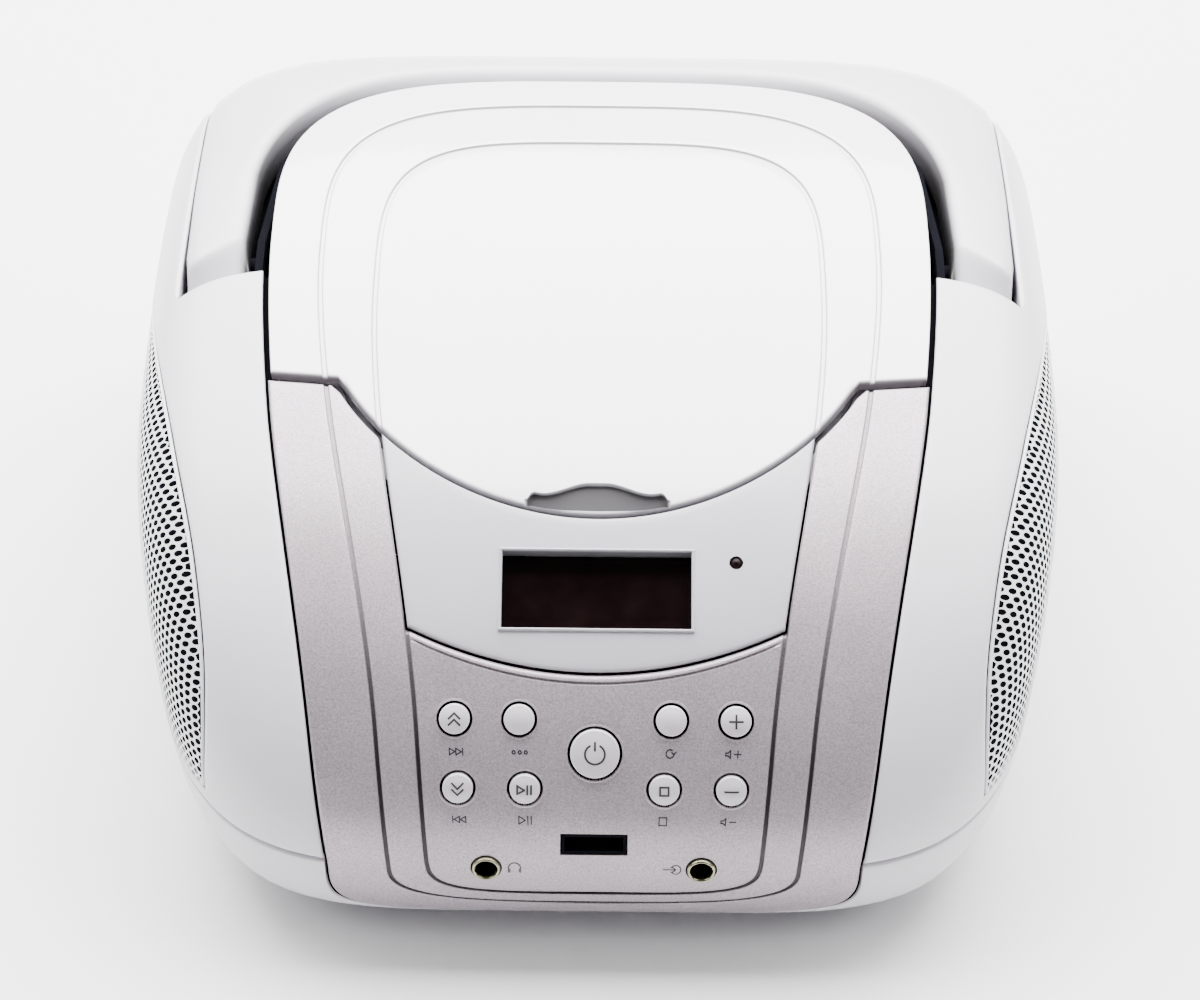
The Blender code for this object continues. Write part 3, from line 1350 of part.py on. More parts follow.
def build_motor(name, axis, top, radius, height):
    """Can motor below the mechanism plate, with a bore for its shaft."""
    bore = SHAFT_RADIUS + FIT
    depth = SHAFT_SINK + FIT
    outline = ((0, top - height), (radius, top - height), (radius, top), (bore, top), (bore, top - depth),
               (0, top - depth))
    place(name, lathe(outline, Matrix.Translation(axis), SEGMENTS), "bright_steel")


# Speakers

def baffle_outline(x):
    """Outline in the side view of the plate that fills the casing at this cross place."""
    points = []
    front, back = POD_TOP - 2 * SHELL - FIT, POD_REAR + SEAM + 2 * SHELL + FIT
    rows = steps(back, LOOP + front, 40) + steps(LOOP + front + FIT, LOOP + back - FIT, 14)
    for s in rows:
        in_channel = LOOP + front < s
        depth = SHELL + BAFFLE_CLEARANCE + (CHANNEL_DEPTH + 2 * LIP_GAP if in_channel else 0.0)
        if AERIAL_TOP - 2 * SHELL < s < AERIAL_LOW + 2 * SHELL:
            depth += aerial_sink(x - BAFFLE_THICKNESS)
        low, high = 0.05, math.pi / 2
        for _ in range(40):
            middle = (low + high) / 2
            if skin_deep(middle, s, depth, in_channel).x < x:
                low = middle
            else:
                high = middle
        found = skin_deep(low, s, depth, in_channel)
        points.append((found.y, found.z))
    return points


def build_speaker(label, side):
    """Baffle, frame with magnet, and cone of one speaker."""
    across = frame(Vector((0, 0, 0)), Vector((0, 1, 0)), Vector((1, 0, 0)))
    if side < 0:
        across = Matrix.Diagonal((-1, 1, 1, 1)) @ across
    outer_face = BAFFLE_X + BAFFLE_THICKNESS / 2
    inner_face = outer_face - BAFFLE_THICKNESS
    baffle = place(label + "_baffle", prism(baffle_outline(outer_face), across, inner_face, outer_face),
                   "black_plastic")
    mouth = SPEAKER_RADIUS - SPEAKER_FLANGE
    cut(baffle, rod(Vector((side * (inner_face - SHELL), SPEAKER_Y, SPEAKER_Z)),
                    Vector((side * (outer_face + SHELL), SPEAKER_Y, SPEAKER_Z)), mouth, SEGMENTS), "mouth")
    at = Matrix.Translation((side * inner_face, SPEAKER_Y, SPEAKER_Z)) @ across
    flange = -FIT - SPEAKER_FLANGE_THICKNESS
    back = flange - BASKET_DEPTH
    wall = SPEAKER_FLANGE_THICKNESS
    frame_outline = ((0, back - MAGNET_DEPTH), (MAGNET_RADIUS, back - MAGNET_DEPTH), (MAGNET_RADIUS, back),
                     (mouth - wall, flange), (SPEAKER_RADIUS, flange), (SPEAKER_RADIUS, -FIT), (mouth, -FIT),
                     (mouth, -3 * FIT), (mouth - 3 * wall, -3 * FIT), (MAGNET_RADIUS - wall, back + wall),
                     (0, back + wall))
    place(label + "_speaker_frame", lathe(frame_outline, at, SEGMENTS), "dark_steel")
    edge = mouth - 4 * FIT
    skirt = DUST_CAP_RADIUS
    cone = ((0, skirt / 3 - CONE_DEPTH), (skirt * 0.7, skirt / 5 - CONE_DEPTH), (skirt, -CONE_DEPTH),
            (edge - 3 * wall, CONE_THICKNESS), (edge - wall, wall), (edge, CONE_THICKNESS), (edge, -2 * FIT),
            (edge - 3 * wall, -2 * FIT), (skirt, -CONE_DEPTH - CONE_THICKNESS),
            (0, -CONE_DEPTH - CONE_THICKNESS))
    place(label + "_speaker_cone", lathe(cone, at, SEGMENTS), "paper_cone")


# Power, batteries, feet and aerial

def main_board_corners():
    """Plan of the main board's four standoffs."""
    x, y = (MAIN_BOARD_SIZE[i] / 2 - STANDOFF_INSET for i in (0, 1))
    return [(MAIN_BOARD_CENTRE[0] + i * x, MAIN_BOARD_CENTRE[1] + j * y) for i in (-1, 1) for j in (-1, 1)]


def build_electrics():
    """Main board, mains transformer and mains inlet."""
    place("main_board", block(MAIN_BOARD_SIZE,
                              at_point(*MAIN_BOARD_CENTRE, MAIN_BOARD_Z + MAIN_BOARD_SIZE[2] / 2)),
          "green_board")
    seat = FOOT_HEIGHT + SHELL + 3 * FIT
    place("transformer", block(TRANSFORMER_SIZE,
                               at_point(*TRANSFORMER_CENTRE, seat + TRANSFORMER_SIZE[2] / 2)),
          "dark_steel")
    wall = profile(WALL_TOP)[0]
    inlet = place("ac_inlet", block(INLET_SIZE, at_point(INLET_X, wall - INLET_SIZE[1] / 2 - FIT, INLET_Z)),
                  "black_plastic")
    holes = bmesh.new()
    for side in (-1, 1):
        x = INLET_X + side * INLET_PIN_SPACING / 2
        rod(Vector((x, wall - INLET_HOLE_DEPTH, INLET_Z)), Vector((x, wall + SHELL, INLET_Z)),
            INLET_HOLE_RADIUS,
            SMALL_SEGMENTS, holes)
    cut(inlet, holes, "figure_eight")


def build_batteries():
    """Battery tray over the opening in the base, and the door that slides in that opening."""
    bay, wall = BATTERY_BAY_SIZE, BATTERY_WALL
    low = FOOT_HEIGHT + SHELL + 2 * FIT
    tray = place("battery_tray", block((bay[0] + 2 * wall, bay[1] + 2 * wall, bay[2] + wall),
                                       at_point(0, BATTERY_BAY_Y, low + (bay[2] + wall) / 2)),
                                       "black_plastic")
    rear = BATTERY_BAY_Y + bay[1] / 2
    ledge = BATTERY_DOOR_TRAVEL + 2 * wall
    join(tray, block((bay[0] + 2 * wall, ledge, wall),
                     at_point(0, rear + ledge / 2 + wall / 2, low + wall / 2)), "ledge")
    cut(tray, block(bay, at_point(0, BATTERY_BAY_Y, low + bay[2] / 2 - SHELL / 4)), "bay")
    door = (bay[0] - 2 * FIT, bay[1] - 2 * FIT, SHELL - FIT)
    place("battery_door", block(door, at_point(0, BATTERY_BAY_Y, FOOT_HEIGHT + FIT + door[2] / 2)),
          "satin_white",
          at_point(0, BATTERY_BAY_Y, FOOT_HEIGHT))


def foot_places():
    """Plan of the four feet."""
    return [(x, y) for y in (FRONT_FOOT_Y, REAR_FOOT_Y) for x in (-FOOT_X, FOOT_X)]


def build_feet():
    """Rubber feet with a peg through the base."""
    names = ("foot_front_left", "foot_front_right", "foot_rear_left", "foot_rear_right")
    for name, (x, y) in zip(names, foot_places()):
        top = FOOT_HEIGHT - FIT
        peg = top + FOOT_PEG_HEIGHT
        outline = ((0, 0), (FOOT_RADIUS - FIT, 0), (FOOT_RADIUS, FIT), (FOOT_RADIUS, top),
                   (FOOT_PEG_RADIUS, top),
                   (FOOT_PEG_RADIUS, peg), (0, peg))
        place(name, lathe(outline, at_point(x, y, 0), SEGMENTS), "rubber")


def aerial_axis():
    """Pivot point of the aerial and the direction of its axis, which leans into the recess."""
    s = AERIAL_LOW - AERIAL_LOW_MARGIN
    pivot = skin(0, s, AERIAL_DEPTH)
    pivot.x = AERIAL_PIVOT_X
    lean = math.radians(AERIAL_TILT)
    return pivot, Vector((0, -math.sin(lean), math.cos(lean)))


def build_aerial():
    """Pivot pin, hollow mast, middle section and tip rod, folded away along the rear wall."""
    pivot, up = aerial_axis()
    at = Matrix.Translation(pivot)
    spare = (AERIAL_RECESS_DEPTH - AERIAL_DEPTH) / math.sin(math.radians(AERIAL_TILT))
    top = spare - AERIAL_PIN_RADIUS / math.tan(math.radians(AERIAL_TILT)) - FIT
    place("aerial_pivot", rod(pivot - up * (AERIAL_BARREL_HALF + FIT), pivot + up * top, AERIAL_PIN_RADIUS),
          "dark_steel")
    along = frame(pivot, Vector((0, 1, 0)), Vector((-1, 0, 0)))
    bore = AERIAL_MAST_RADIUS - AERIAL_WALL
    root = AERIAL_BARREL_RADIUS + FIT
    tube = ((0, 0), (AERIAL_MAST_RADIUS, 0), (AERIAL_MAST_RADIUS, AERIAL_LENGTH), (bore, AERIAL_LENGTH),
            (bore, root),
            (0, root))
    mast = place("aerial_mast", lathe(tube, along, SMALL_SEGMENTS), "bright_steel", at)
    join(mast, rod(pivot - up * AERIAL_BARREL_HALF, pivot + up * AERIAL_BARREL_HALF, AERIAL_BARREL_RADIUS),
         "barrel")
    cut(mast, rod(pivot - up * 2 * AERIAL_BARREL_HALF, pivot + up * 2 * AERIAL_BARREL_HALF,
                  AERIAL_PIN_RADIUS + FIT),
        "pivot_bore")
    middle_root = root + FIT
    middle_bore = AERIAL_MIDDLE_RADIUS - AERIAL_WALL
    tube = ((0, middle_root), (AERIAL_MIDDLE_RADIUS, middle_root), (AERIAL_MIDDLE_RADIUS, AERIAL_LENGTH),
            (middle_bore, AERIAL_LENGTH), (middle_bore, middle_root + SHELL), (0, middle_root + SHELL))
    place("aerial_middle", lathe(tube, along, SMALL_SEGMENTS), "bright_steel", at)
    tip = AERIAL_LENGTH + FIT
    end = tip + AERIAL_TIP_LENGTH
    start = middle_root + SHELL + FIT
    outline = ((0, start), (AERIAL_ROD_RADIUS, start), (AERIAL_ROD_RADIUS, tip), (AERIAL_TIP_RADIUS, tip),
               (AERIAL_TIP_RADIUS, end - AERIAL_TIP_RADIUS), (AERIAL_TIP_RADIUS * 0.6, end), (0, end))
    place("aerial_rod", lathe(outline, along, SMALL_SEGMENTS), "bright_steel", at)


def main():
    """Build every piece of the player."""
    for item in list(bpy.data.objects):
        bpy.data.objects.remove(item, do_unlink=True)
    build_base()
    for label, side in (("left", -1), ("right", 1)):
        build_pod(label + "_pod", side)
        build_grille(label + "_grille", side)
        build_speaker(label, side)
    build_front_panel()
    build_display_panel()
    build_display()
    build_buttons()
    build_sockets()
    build_lid()
    build_handle()
    build_handle_recess()
    build_deck()
    build_well()
    build_mechanism()
    build_electrics()
    build_batteries()
    build_feet()
    build_aerial()


main()
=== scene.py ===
"""Looks of the portable CD player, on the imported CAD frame.

Metres, +Z up, front towards -Y. The outer shells repeat the body skin of the part: a side profile of tangent
arcs, closed at both sides by a rounded end. A place on the skin is xi, the cross position, and s, the length
along the profile from the middle of the underside round the front, the top and the rear.
"""
import json
import math

import bmesh
import bpy
import numpy as np
from mathutils import Matrix, Vector

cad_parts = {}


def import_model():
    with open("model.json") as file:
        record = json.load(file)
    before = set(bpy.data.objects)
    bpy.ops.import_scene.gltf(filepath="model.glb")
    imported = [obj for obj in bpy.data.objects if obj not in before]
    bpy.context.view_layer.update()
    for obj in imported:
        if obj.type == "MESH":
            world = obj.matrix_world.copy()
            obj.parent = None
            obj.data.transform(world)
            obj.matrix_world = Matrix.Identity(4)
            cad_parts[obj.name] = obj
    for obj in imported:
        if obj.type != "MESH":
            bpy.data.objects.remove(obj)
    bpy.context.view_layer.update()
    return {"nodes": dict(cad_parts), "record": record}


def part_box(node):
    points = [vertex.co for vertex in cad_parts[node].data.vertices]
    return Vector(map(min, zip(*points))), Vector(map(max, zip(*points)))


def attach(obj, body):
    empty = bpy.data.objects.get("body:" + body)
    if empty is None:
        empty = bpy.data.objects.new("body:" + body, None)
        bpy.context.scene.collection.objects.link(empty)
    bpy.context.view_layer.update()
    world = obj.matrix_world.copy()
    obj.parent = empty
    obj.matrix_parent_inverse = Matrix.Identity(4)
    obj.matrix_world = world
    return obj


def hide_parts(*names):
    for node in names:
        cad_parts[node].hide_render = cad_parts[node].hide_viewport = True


# Camera, fitted to the photograph's 1200 x 1000 frame
PICTURE_WIDTH = 1200
PICTURE_HEIGHT = 1000
SENSOR_WIDTH = 36.0
FOCAL_PIXELS = 3400
AXIS_PIXEL = (598, 457)
CAMERA_TARGET = (0.0, 0.0, 0.045)
CAMERA_DISTANCE = 0.800
CAMERA_ELEVATION = 42.0
CAMERA_ROLL = 0.6

# Body skin: radius and end angle of the profile's arcs, from the front toe to the rear wall
FOOT_HEIGHT = 0.004
PROFILE_ARCS = ((0.014, -12), (0.038, 28), (0.074, 42), (0.095, 60), (0.130, 75), (0.330, 97), (0.034, 180))
REAR_TOE_RADIUS = 0.016
HALF_WIDTH = 0.105
FULLNESS = 5.5
CENTRE_Y = 0.006
CENTRE_Z = 0.048
TAPER = 0.13
TAPER_LOW = -0.060
TAPER_HIGH = 0.040
TAPER_POWER = 1.5

# Walls, gaps and rounded edges
SEAM = 0.0006
LID_SEAM = 0.0013
# Dark strips behind the seams, painted shade that makes the gaps look black: their depths, reach, thickness
# and lowest corner angle
LINER_DEPTHS = (0.0004, 0.0029)
LINER_REACH = 0.0025
LINER_THICKNESS = 0.0002
LINER_ANGLE = math.radians(40)
SHELL = 0.0022
LID_THICKNESS = 0.0024
EDGE_ROUND = 0.0008
EDGE_STEPS = (0.0, 0.08, 0.28, 0.58, 1.0)

# Main edges along the profile
DISC_ANGLE = 83.1
NARROW_ANGLE = 39
POD_FOOT_ANGLE = 6
HANDLE_REAR_ANGLE = 152
LID_FRONT_CIRCLE = 0.064
DISPLAY_CIRCLE = 0.0988
DISPLAY_HALF_WIDTH = 0.042
DISPLAY_LENGTH = 0.034
DISPLAY_MIDDLE = 0.09
LID_EAR_REACH = 0.0284
EAR_GAP = 0.0018
EAR_SLOPE = 0.10
EAR_MIDDLE = 0.066
POD_TOP_REACH = 0.0044
POD_TOP_DROP = 0.0034
HANDLE_NOSE_GAP = 0.0034
HANDLE_REAR_GAP = 0.0012

# Moulded lines round the lid and the front panel: the outer one is the seam with the side casings
SEAM_LINE = dict(low=0.0662, high=0.0765, widest=0.1922, rear=0.2516, rear_power=3.4,
                 corner=0.034, bottom=0.013, corner_power=5.0)
OUTER_LINE = dict(low=0.0506, high=0.0634, widest=0.1847, rear=0.2385, rear_power=3.4,
                  corner=0.032, bottom=0.0198, corner_power=3.2)
INNER_LINE = dict(low=0.0411, high=0.0505, widest=0.1710, rear=0.2228, rear_power=3.8,
                  corner=0.035, bottom=0.0232, corner_power=3.8)
GROOVE_DEPTH = 0.0006
# Painted shade: grey walls in the lid's lines, a grey band on the lid's rounded front edge, a dark finger
# notch
LID_GROOVE_SHADE = 0.58
LID_EDGE_SHADE = 0.80
NOTCH_SHADE = 0.95
# Painted shade in the front panel's lines, darker towards the bottom below PANEL_SHADE_START
PANEL_LINE_SHADE = 0.45
PANEL_SHADE_START = 0.105
PANEL_SHADE_RUN = 0.06
GROOVE_PROFILE = ((-0.00085, 0.0), (-0.00060, 0.10), (-0.00042, 0.92), (-0.00028, 1.0),
                  (0.00028, 1.0), (0.00042, 0.92), (0.00060, 0.10), (0.00085, 0.0))

# Edge of the front panel under the display panel: a wide rounding and a shallow line below it, darkened with
# painted shade
ARC_ROUND = 0.0012
ARC_LINE_PROFILE = ((0.0014, 0.0), (0.0016, 1.0), (0.0020, 1.0), (0.0022, 0.0))
ARC_LINE_DEPTH = 0.0003
ARC_LINE_SHADE = 0.40

# Fans of rows round the lid's rear corners and the panel's lower corners: first and last angle, and rows
LID_FAN = ((90, 0, 44),)
PANEL_FAN = ((90, 76, 8), (76, 52, 36), (52, 0, 16))
PANEL_CENTRE = 0.045

# Finger notch of the lid
NOTCH_HALF_WIDTH = 0.0162
NOTCH_LENGTH = 0.0078
NOTCH_LIP = 0.0013
NOTCH_SHOULDER_SHARE = 0.52
NOTCH_SHOULDER_WIDTH = 0.12
NOTCH_SHOULDER_POWER = 0.8
NOTCH_CROWN_START = 0.80
NOTCH_CROWN_WIDTH = 0.70
NOTCH_EDGE_DEPTH = 0.0012
NOTCH_FRONT_DEPTH = 0.0019

# Handle, with painted shade on its inner face that grows over HANDLE_SHADE_DEPTH below the top
HANDLE_HALF_WIDTH = 0.0958
HANDLE_LID_GAP = 0.0037
HANDLE_THICKNESS = 0.011
HANDLE_CORNER_POWER = 13
HANDLE_ROUND = 0.0024
HANDLE_INNER_ROUND = 0.0046
HANDLE_NOSE_LENGTH = 0.0085
HANDLE_NOSE_SLANT = (1.2, 0.5)
HANDLE_NOSE_POWER = 1.25
HANDLE_ROOT_RELIEF = 0.0012
HANDLE_ROOT_LENGTH = 0.016
HANDLE_SHADE_DEPTH = 0.0018

# Lugs and pins of the lid's hinge, and pins of the handle's pivot
HINGE_LUG_RADIUS = 0.0019
HINGE_LUG_SIDES = (0.0150, 0.0220)
HINGE_NECK_LENGTH = 0.0030
HINGE_PIN_RADIUS = 0.0012
HINGE_PIN_LENGTH = 0.0045
HANDLE_PIN_RADIUS = 0.0020
HANDLE_PIN_ROOT = 0.0030
PIN_CHAMFER = 0.0003

# Grilles
GRILLE_CENTRE = (-0.018, 0.032)
GRILLE_AXES = (0.0777, 0.0515)
GRILLE_FOOT_Z = 0.0335
GRILLE_GAP = 0.00012
GRILLE_RIM = 0.0003
GRILLE_MIDDLE_Z = 0.055
HOLE_PITCH = 0.0019
HOLE_RADIUS = 0.00068
HOLE_SIDES = 12
SHEET_SINK = 0.0002
SHEET_THICKNESS = 0.0003
# Depth of the dark sheet behind the holes, painted shade
SHADE_SHEET_DEPTH = 0.0008

# Display window, its frame and the lamp; BEZEL_SHADE is painted shade on the frame's inner wall
BEZEL_WALL = 0.0006
BEZEL_INSET = 0.0002
BEZEL_BEVEL = 0.00025
BEZEL_LIFT = 0.0002
BEZEL_SHADE = 0.6
WINDOW_ALONG = 0.0933
WINDOW_SIZE = (0.0410, 0.0175)
WINDOW_RECESS = 0.0044
LED_PLACE = (0.0306, 0.0996)
LED_RADIUS = 0.0012

# Buttons: cross position, length along the profile and radius
BUTTON_RADIUS = 0.00325
POWER_RADIUS = 0.00525
BUTTON_CLEARANCE = 0.0006
BUTTON_PROUD = 0.0007
BUTTON_CROWN = 0.0008
BUTTON_EDGE = 0.0005
WELL_DEPTH = 0.0034
COLLAR_WIDTH = 0.0005
COLLAR_HEIGHT = 0.00012
COLLAR_PROFILE = ((0.0, -1.0), (0.0, 0.5), (0.15, 1.0), (0.5, 0.9), (1.0, 0.0))
BUTTONS = {
    "next_button": (-0.0322, 0.0653, BUTTON_RADIUS),
    "back_button": (-0.0322, 0.0505, BUTTON_RADIUS),
    "function_button": (-0.0174, 0.0653, BUTTON_RADIUS),
    "play_button": (-0.0164, 0.0505, BUTTON_RADIUS),
    "repeat_button": (0.0174, 0.0653, BUTTON_RADIUS),
    "stop_button": (0.0164, 0.0505, BUTTON_RADIUS),
    "volume_up_button": (0.0322, 0.0653, BUTTON_RADIUS),
    "volume_down_button": (0.0322, 0.0505, BUTTON_RADIUS),
    "power_button": (0.0, 0.0582, POWER_RADIUS),
}

# General signs on the buttons, and printed beside them: stroke widths in millimetres
SIGN_STROKE = (0.44, 0.30)
SIGN_LIFT = 0.00004
BUTTON_SIGNS = {"next_button": "up", "back_button": "down", "play_button": "play", "stop_button": "stop",
                "volume_up_button": "plus", "volume_down_button": "minus", "power_button": "power"}
PANEL_SIGNS = (("forward", -0.0322, 0.0583), ("source", -0.0174, 0.0583), ("backward", -0.0322, 0.0434),
               ("play", -0.0164, 0.0434), ("repeat", 0.0174, 0.0583), ("stop", 0.0164, 0.0434),
               ("louder", 0.0322, 0.0583), ("softer", 0.0322, 0.0434), ("phones", -0.0195, 0.0312),
               ("line_in", 0.0195, 0.0312))

# Sockets
USB_ALONG = 0.0376
USB_SIZE = (0.0138, 0.0047)
JACK_PLACES = {"phones_jack": (-0.0265, 0.0312), "aux_jack": (0.0265, 0.0312)}
JACK_RADIUS = 0.0031
JACK_BORE_RADIUS = 0.0023
JACK_LIP = 0.0008
JACK_DEPTH = 0.0090

# Disc well, and lips of the side casings beside the deck and the handle's channel
DECK_DEPTH = 0.0077
WELL_WALL = 0.0013
DECK_LIP = 0.0074
CHANNEL_LIP = 0.0120

# Rear wall and underside: aerial recess, battery bay and mains inlet
INLET_PLACE = (-0.045, 0.030)
INLET_SIZE = (0.022, 0.016)
BATTERY_BAY_SIZE = (0.112, 0.056)
BATTERY_BAY_Y = 0.036
BATTERY_DOOR_TRAVEL = 0.008
AERIAL_RECESS_DEPTH = 0.0095
AERIAL_RECESS_TOP = 0.002
AERIAL_RECESS_HEIGHT = 0.0155
AERIAL_RECESS_HALF_WIDTH = 0.0665
AERIAL_RUN_OUT = 0.088
RECESS_PROFILE = ((-0.0009, 0.0), (-0.00045, 0.03), (-0.0003, 0.10),
                  (0.0003, 0.92), (0.00045, 0.98), (0.0009, 1.0))
FIT = 0.0003

SMOOTH_ANGLE = math.radians(40)

# Sides of turned pieces, and rough widths of the casings, which set how close the rows lie at their edges
ROUND_SIDES = 64
PIN_SIDES = 32
POD_WIDTH = 0.05
BASE_FRONT_LENGTH = 0.035

# Stage: lights as (place, size, power), all turned to one target
LIGHTS = {
    "key_light": ((0.0, 0.42, 0.80), (1.6, 0.8), 84),
    "left_light": ((-1.0, -0.1, 0.90), (0.8, 0.8), 10),
    "right_light": ((1.0, -0.1, 0.90), (0.8, 0.8), 10),
}
LIGHT_TARGET = (0.0, 0.0, 0.05)
SURROUND_STRENGTH = 0.12
FLOOR_HALF_SIZE = 6

# Signs of the corners of a rectangle, in order round it
CORNERS = ((-1, -1), (1, -1), (1, 1), (-1, 1))

# Nodes painted dead black as shade: the handle's channel, and the USB socket with its lit face blacked out
PAINTED_SHADE_NODES = ("handle_recess", "usb_socket")


# Side profile and body skin

def trace_profile():
    """Pieces of the closed side profile: (start length, end length, start y, start z, radius, angle)."""
    pieces = []
    y, z, angle, length = 0.0, FOOT_HEIGHT, math.radians(-90), 0.0

    def add_arc(radius, end):
        nonlocal y, z, angle, length
        pieces.append((length, length + radius * (end - angle), y, z, radius, angle))
        length += radius * (end - angle)
        y += radius * (math.cos(angle) - math.cos(end))
        z += radius * (math.sin(end) - math.sin(angle))
        angle = end

    def add_line(run):
        nonlocal y, z, length
        pieces.append((length, length + run, y, z, None, angle))
        length += run
        y += run * math.sin(angle)
        z += run * math.cos(angle)

    for radius, end in PROFILE_ARCS:
        add_arc(radius, math.radians(end))
    add_line(z - FOOT_HEIGHT - REAR_TOE_RADIUS)
    add_arc(REAR_TOE_RADIUS, math.radians(270))
    add_line(y)
    return pieces


PIECES = trace_profile()
LOOP = PIECES[-1][1]


def raw_profile(s):
    """Points (y, z) of the profile at the lengths s, before it is centred."""
    s = np.mod(np.atleast_1d(np.asarray(s, float)), LOOP)
    y, z = np.zeros_like(s), np.zeros_like(s)
    for start, end, y0, z0, radius, angle in PIECES:
        here = (s >= start) & (s <= end)
        run = s[here] - start
        if radius is None:
            y[here] = y0 + run * math.sin(angle)
            z[here] = z0 + run * math.cos(angle)
        else:
            turn = angle + run / radius
            y[here] = y0 + radius * (math.cos(angle) - np.cos(turn))
            z[here] = z0 + radius * (np.sin(turn) - math.sin(angle))
    return y, z


def station(degrees):
    """Length along the profile where its outward normal stands at this angle above the front."""
    angle = math.radians(degrees)
    for start, end, _, _, radius, first in PIECES:
        if radius is not None and first <= angle <= first + (end - start) / radius:
            return start + radius * (angle - first)
    raise ValueError("no such angle on the profile")


WALL_TOP = station(180)
MIDDLE_Y = float(raw_profile(station(0))[0][0] + raw_profile(WALL_TOP)[0][0]) / 2
DISC = station(DISC_ANGLE)
EAR = DISC - LID_EAR_REACH
NARROW = station(NARROW_ANGLE)
POD_TOP = DISC + POD_TOP_REACH
POD_FOOT = station(POD_FOOT_ANGLE)
HANDLE_START = POD_TOP + HANDLE_NOSE_GAP
HANDLE_REAR = station(HANDLE_REAR_ANGLE)
POD_REAR = HANDLE_REAR + HANDLE_REAR_GAP
AERIAL_TOP = WALL_TOP + AERIAL_RECESS_TOP
AERIAL_LOW = AERIAL_TOP + AERIAL_RECESS_HEIGHT
TOE_START, FLOOR_START = (PIECES[len(PROFILE_ARCS) + n][1] for n in (0, 1))


def profile(s):
    """Points (y, z) of the centred profile."""
    y, z = raw_profile(s)
    return y - MIDDLE_Y, z


def taper(y, z):
    """Share of the width that is left at these places of the side view."""
    t = np.clip(((y + z) / math.sqrt(2) - TAPER_LOW) / (TAPER_HIGH - TAPER_LOW), 0.0, 1.0)
    return 1 - TAPER * (1 - t) ** TAPER_POWER


def cross_angle(xi):
    """Angle round the rounded end that belongs to the cross position xi."""
    xi = np.asarray(xi, float)
    return np.sign(xi) * np.arcsin(np.minimum(np.abs(xi) / HALF_WIDTH, 1.0) ** (FULLNESS / 2))


def skin_at(angle, s):
    """Points of the body skin at cross angles: 0 in the middle, 90 degrees at the tip of a side."""
    angle, s = np.broadcast_arrays(np.asarray(angle, float), np.asarray(s, float))
    shape = angle.shape
    angle, s = angle.ravel(), s.ravel()
    power = 2 / FULLNESS
    share = np.clip(np.cos(angle), 0.0, None) ** power
    xi = HALF_WIDTH * np.sign(angle) * np.abs(np.sin(angle)) ** power
    y, z = profile(s)
    y = CENTRE_Y + share * (y - CENTRE_Y)
    z = CENTRE_Z + share * (z - CENTRE_Z)
    return np.stack((xi * taper(y, z), y, z), -1).reshape(*shape, 3)


def normal_at(angle, s):
    """Outward normals of the body skin."""
    step, run = 1e-3, 1e-4
    across = skin_at(angle + step, s) - skin_at(angle - step, s)
    along = skin_at(angle, s + run) - skin_at(angle, s - run)
    normal = np.cross(across, along)
    return normal / np.linalg.norm(normal, axis=-1, keepdims=True)


def skin_deep(angle, s, depth, straight=False):
    """Points under the skin: along its normal or, if straight, along the normal within the side view."""
    normal = normal_at(angle, s)
    if straight:
        normal = normal * np.array((0.0, 1.0, 1.0))
        normal = normal / np.linalg.norm(normal, axis=-1, keepdims=True)
    return skin_at(angle, s) - np.asarray(depth)[..., None] * normal


def skin(xi, s, depth=0.0, straight=False):
    """Points of the skin, or under it, at the cross positions xi."""
    xi, s, depth = np.broadcast_arrays(np.asarray(xi, float), np.asarray(s, float), np.asarray(depth, float))
    return skin_deep(cross_angle(xi), s, depth, straight)


def skin_frame(xi, s):
    """Local frame on the skin: +Z along the outward normal, +X across the body."""
    up = Vector(normal_at(cross_angle(xi), np.asarray(s)))
    across = Vector((1, 0, 0))
    across = (across - across.dot(up) * up).normalized()
    turn = Matrix((across, up.cross(across), up)).transposed()
    return Matrix.Translation(Vector(skin(xi, s))) @ turn.to_4x4()


def ease(t):
    """Smooth steps from 0 to 1."""
    t = np.clip(t, 0.0, 1.0)
    return t * t * (3 - 2 * t)


def rounded(distance, radius=EDGE_ROUND):
    """Depth of a rounded edge at a distance from it."""
    short = np.clip(radius - distance, 0.0, radius)
    return radius - np.sqrt(radius * radius - short * short)


def edged(first, last, count, radius=EDGE_ROUND, start=True, end=True):
    """Values from first to last, crowded within a rounded edge's radius of the ends asked for."""
    near = [radius * step for step in EDGE_STEPS]
    low = [first + n for n in near] if start else [first]
    high = [last - n for n in reversed(near)] if end else [last]
    return low + list(np.linspace(low[-1], high[0], count)[1:-1]) + high


# Moulded lines

class Line:
    """Closed line on the skin: an egg, narrow at the front panel and wide at the lid."""

    def __init__(self, low, high, widest, rear, rear_power, corner, bottom, corner_power):
        self.low, self.high, self.widest = low, high, widest
        self.rear, self.rear_power = rear, rear_power
        self.corner, self.bottom, self.corner_power = corner, bottom, corner_power

    def half(self, s):
        """Half width between the rounded ends."""
        return self.low + (self.high - self.low) * ease((s - NARROW) / (self.widest - NARROW))

    def level(self, xi, s):
        """1 on the line, less inside."""
        across = np.abs(xi) / self.half(s)
        behind = np.clip((s - self.widest) / (self.rear - self.widest), 0.0, None)
        ahead = np.clip((self.corner - s) / (self.corner - self.bottom), 0.0, None)
        p, q = self.rear_power, self.corner_power
        low, high = (across ** q + ahead ** q) ** (1 / q), (across ** p + behind ** p) ** (1 / p)
        return np.where(ahead > 0, low, high)

    def reach(self, centre, angle, towards):
        """Distance from a point of the middle line to the line; angle 0 points to the rear or the bottom."""
        low, high = 0.0, 0.2
        for _ in range(40):
            middle = (low + high) / 2
            if self.level(middle * math.sin(angle), centre + towards * middle * math.cos(angle)) < 1:
                low = middle
            else:
                high = middle
        return low


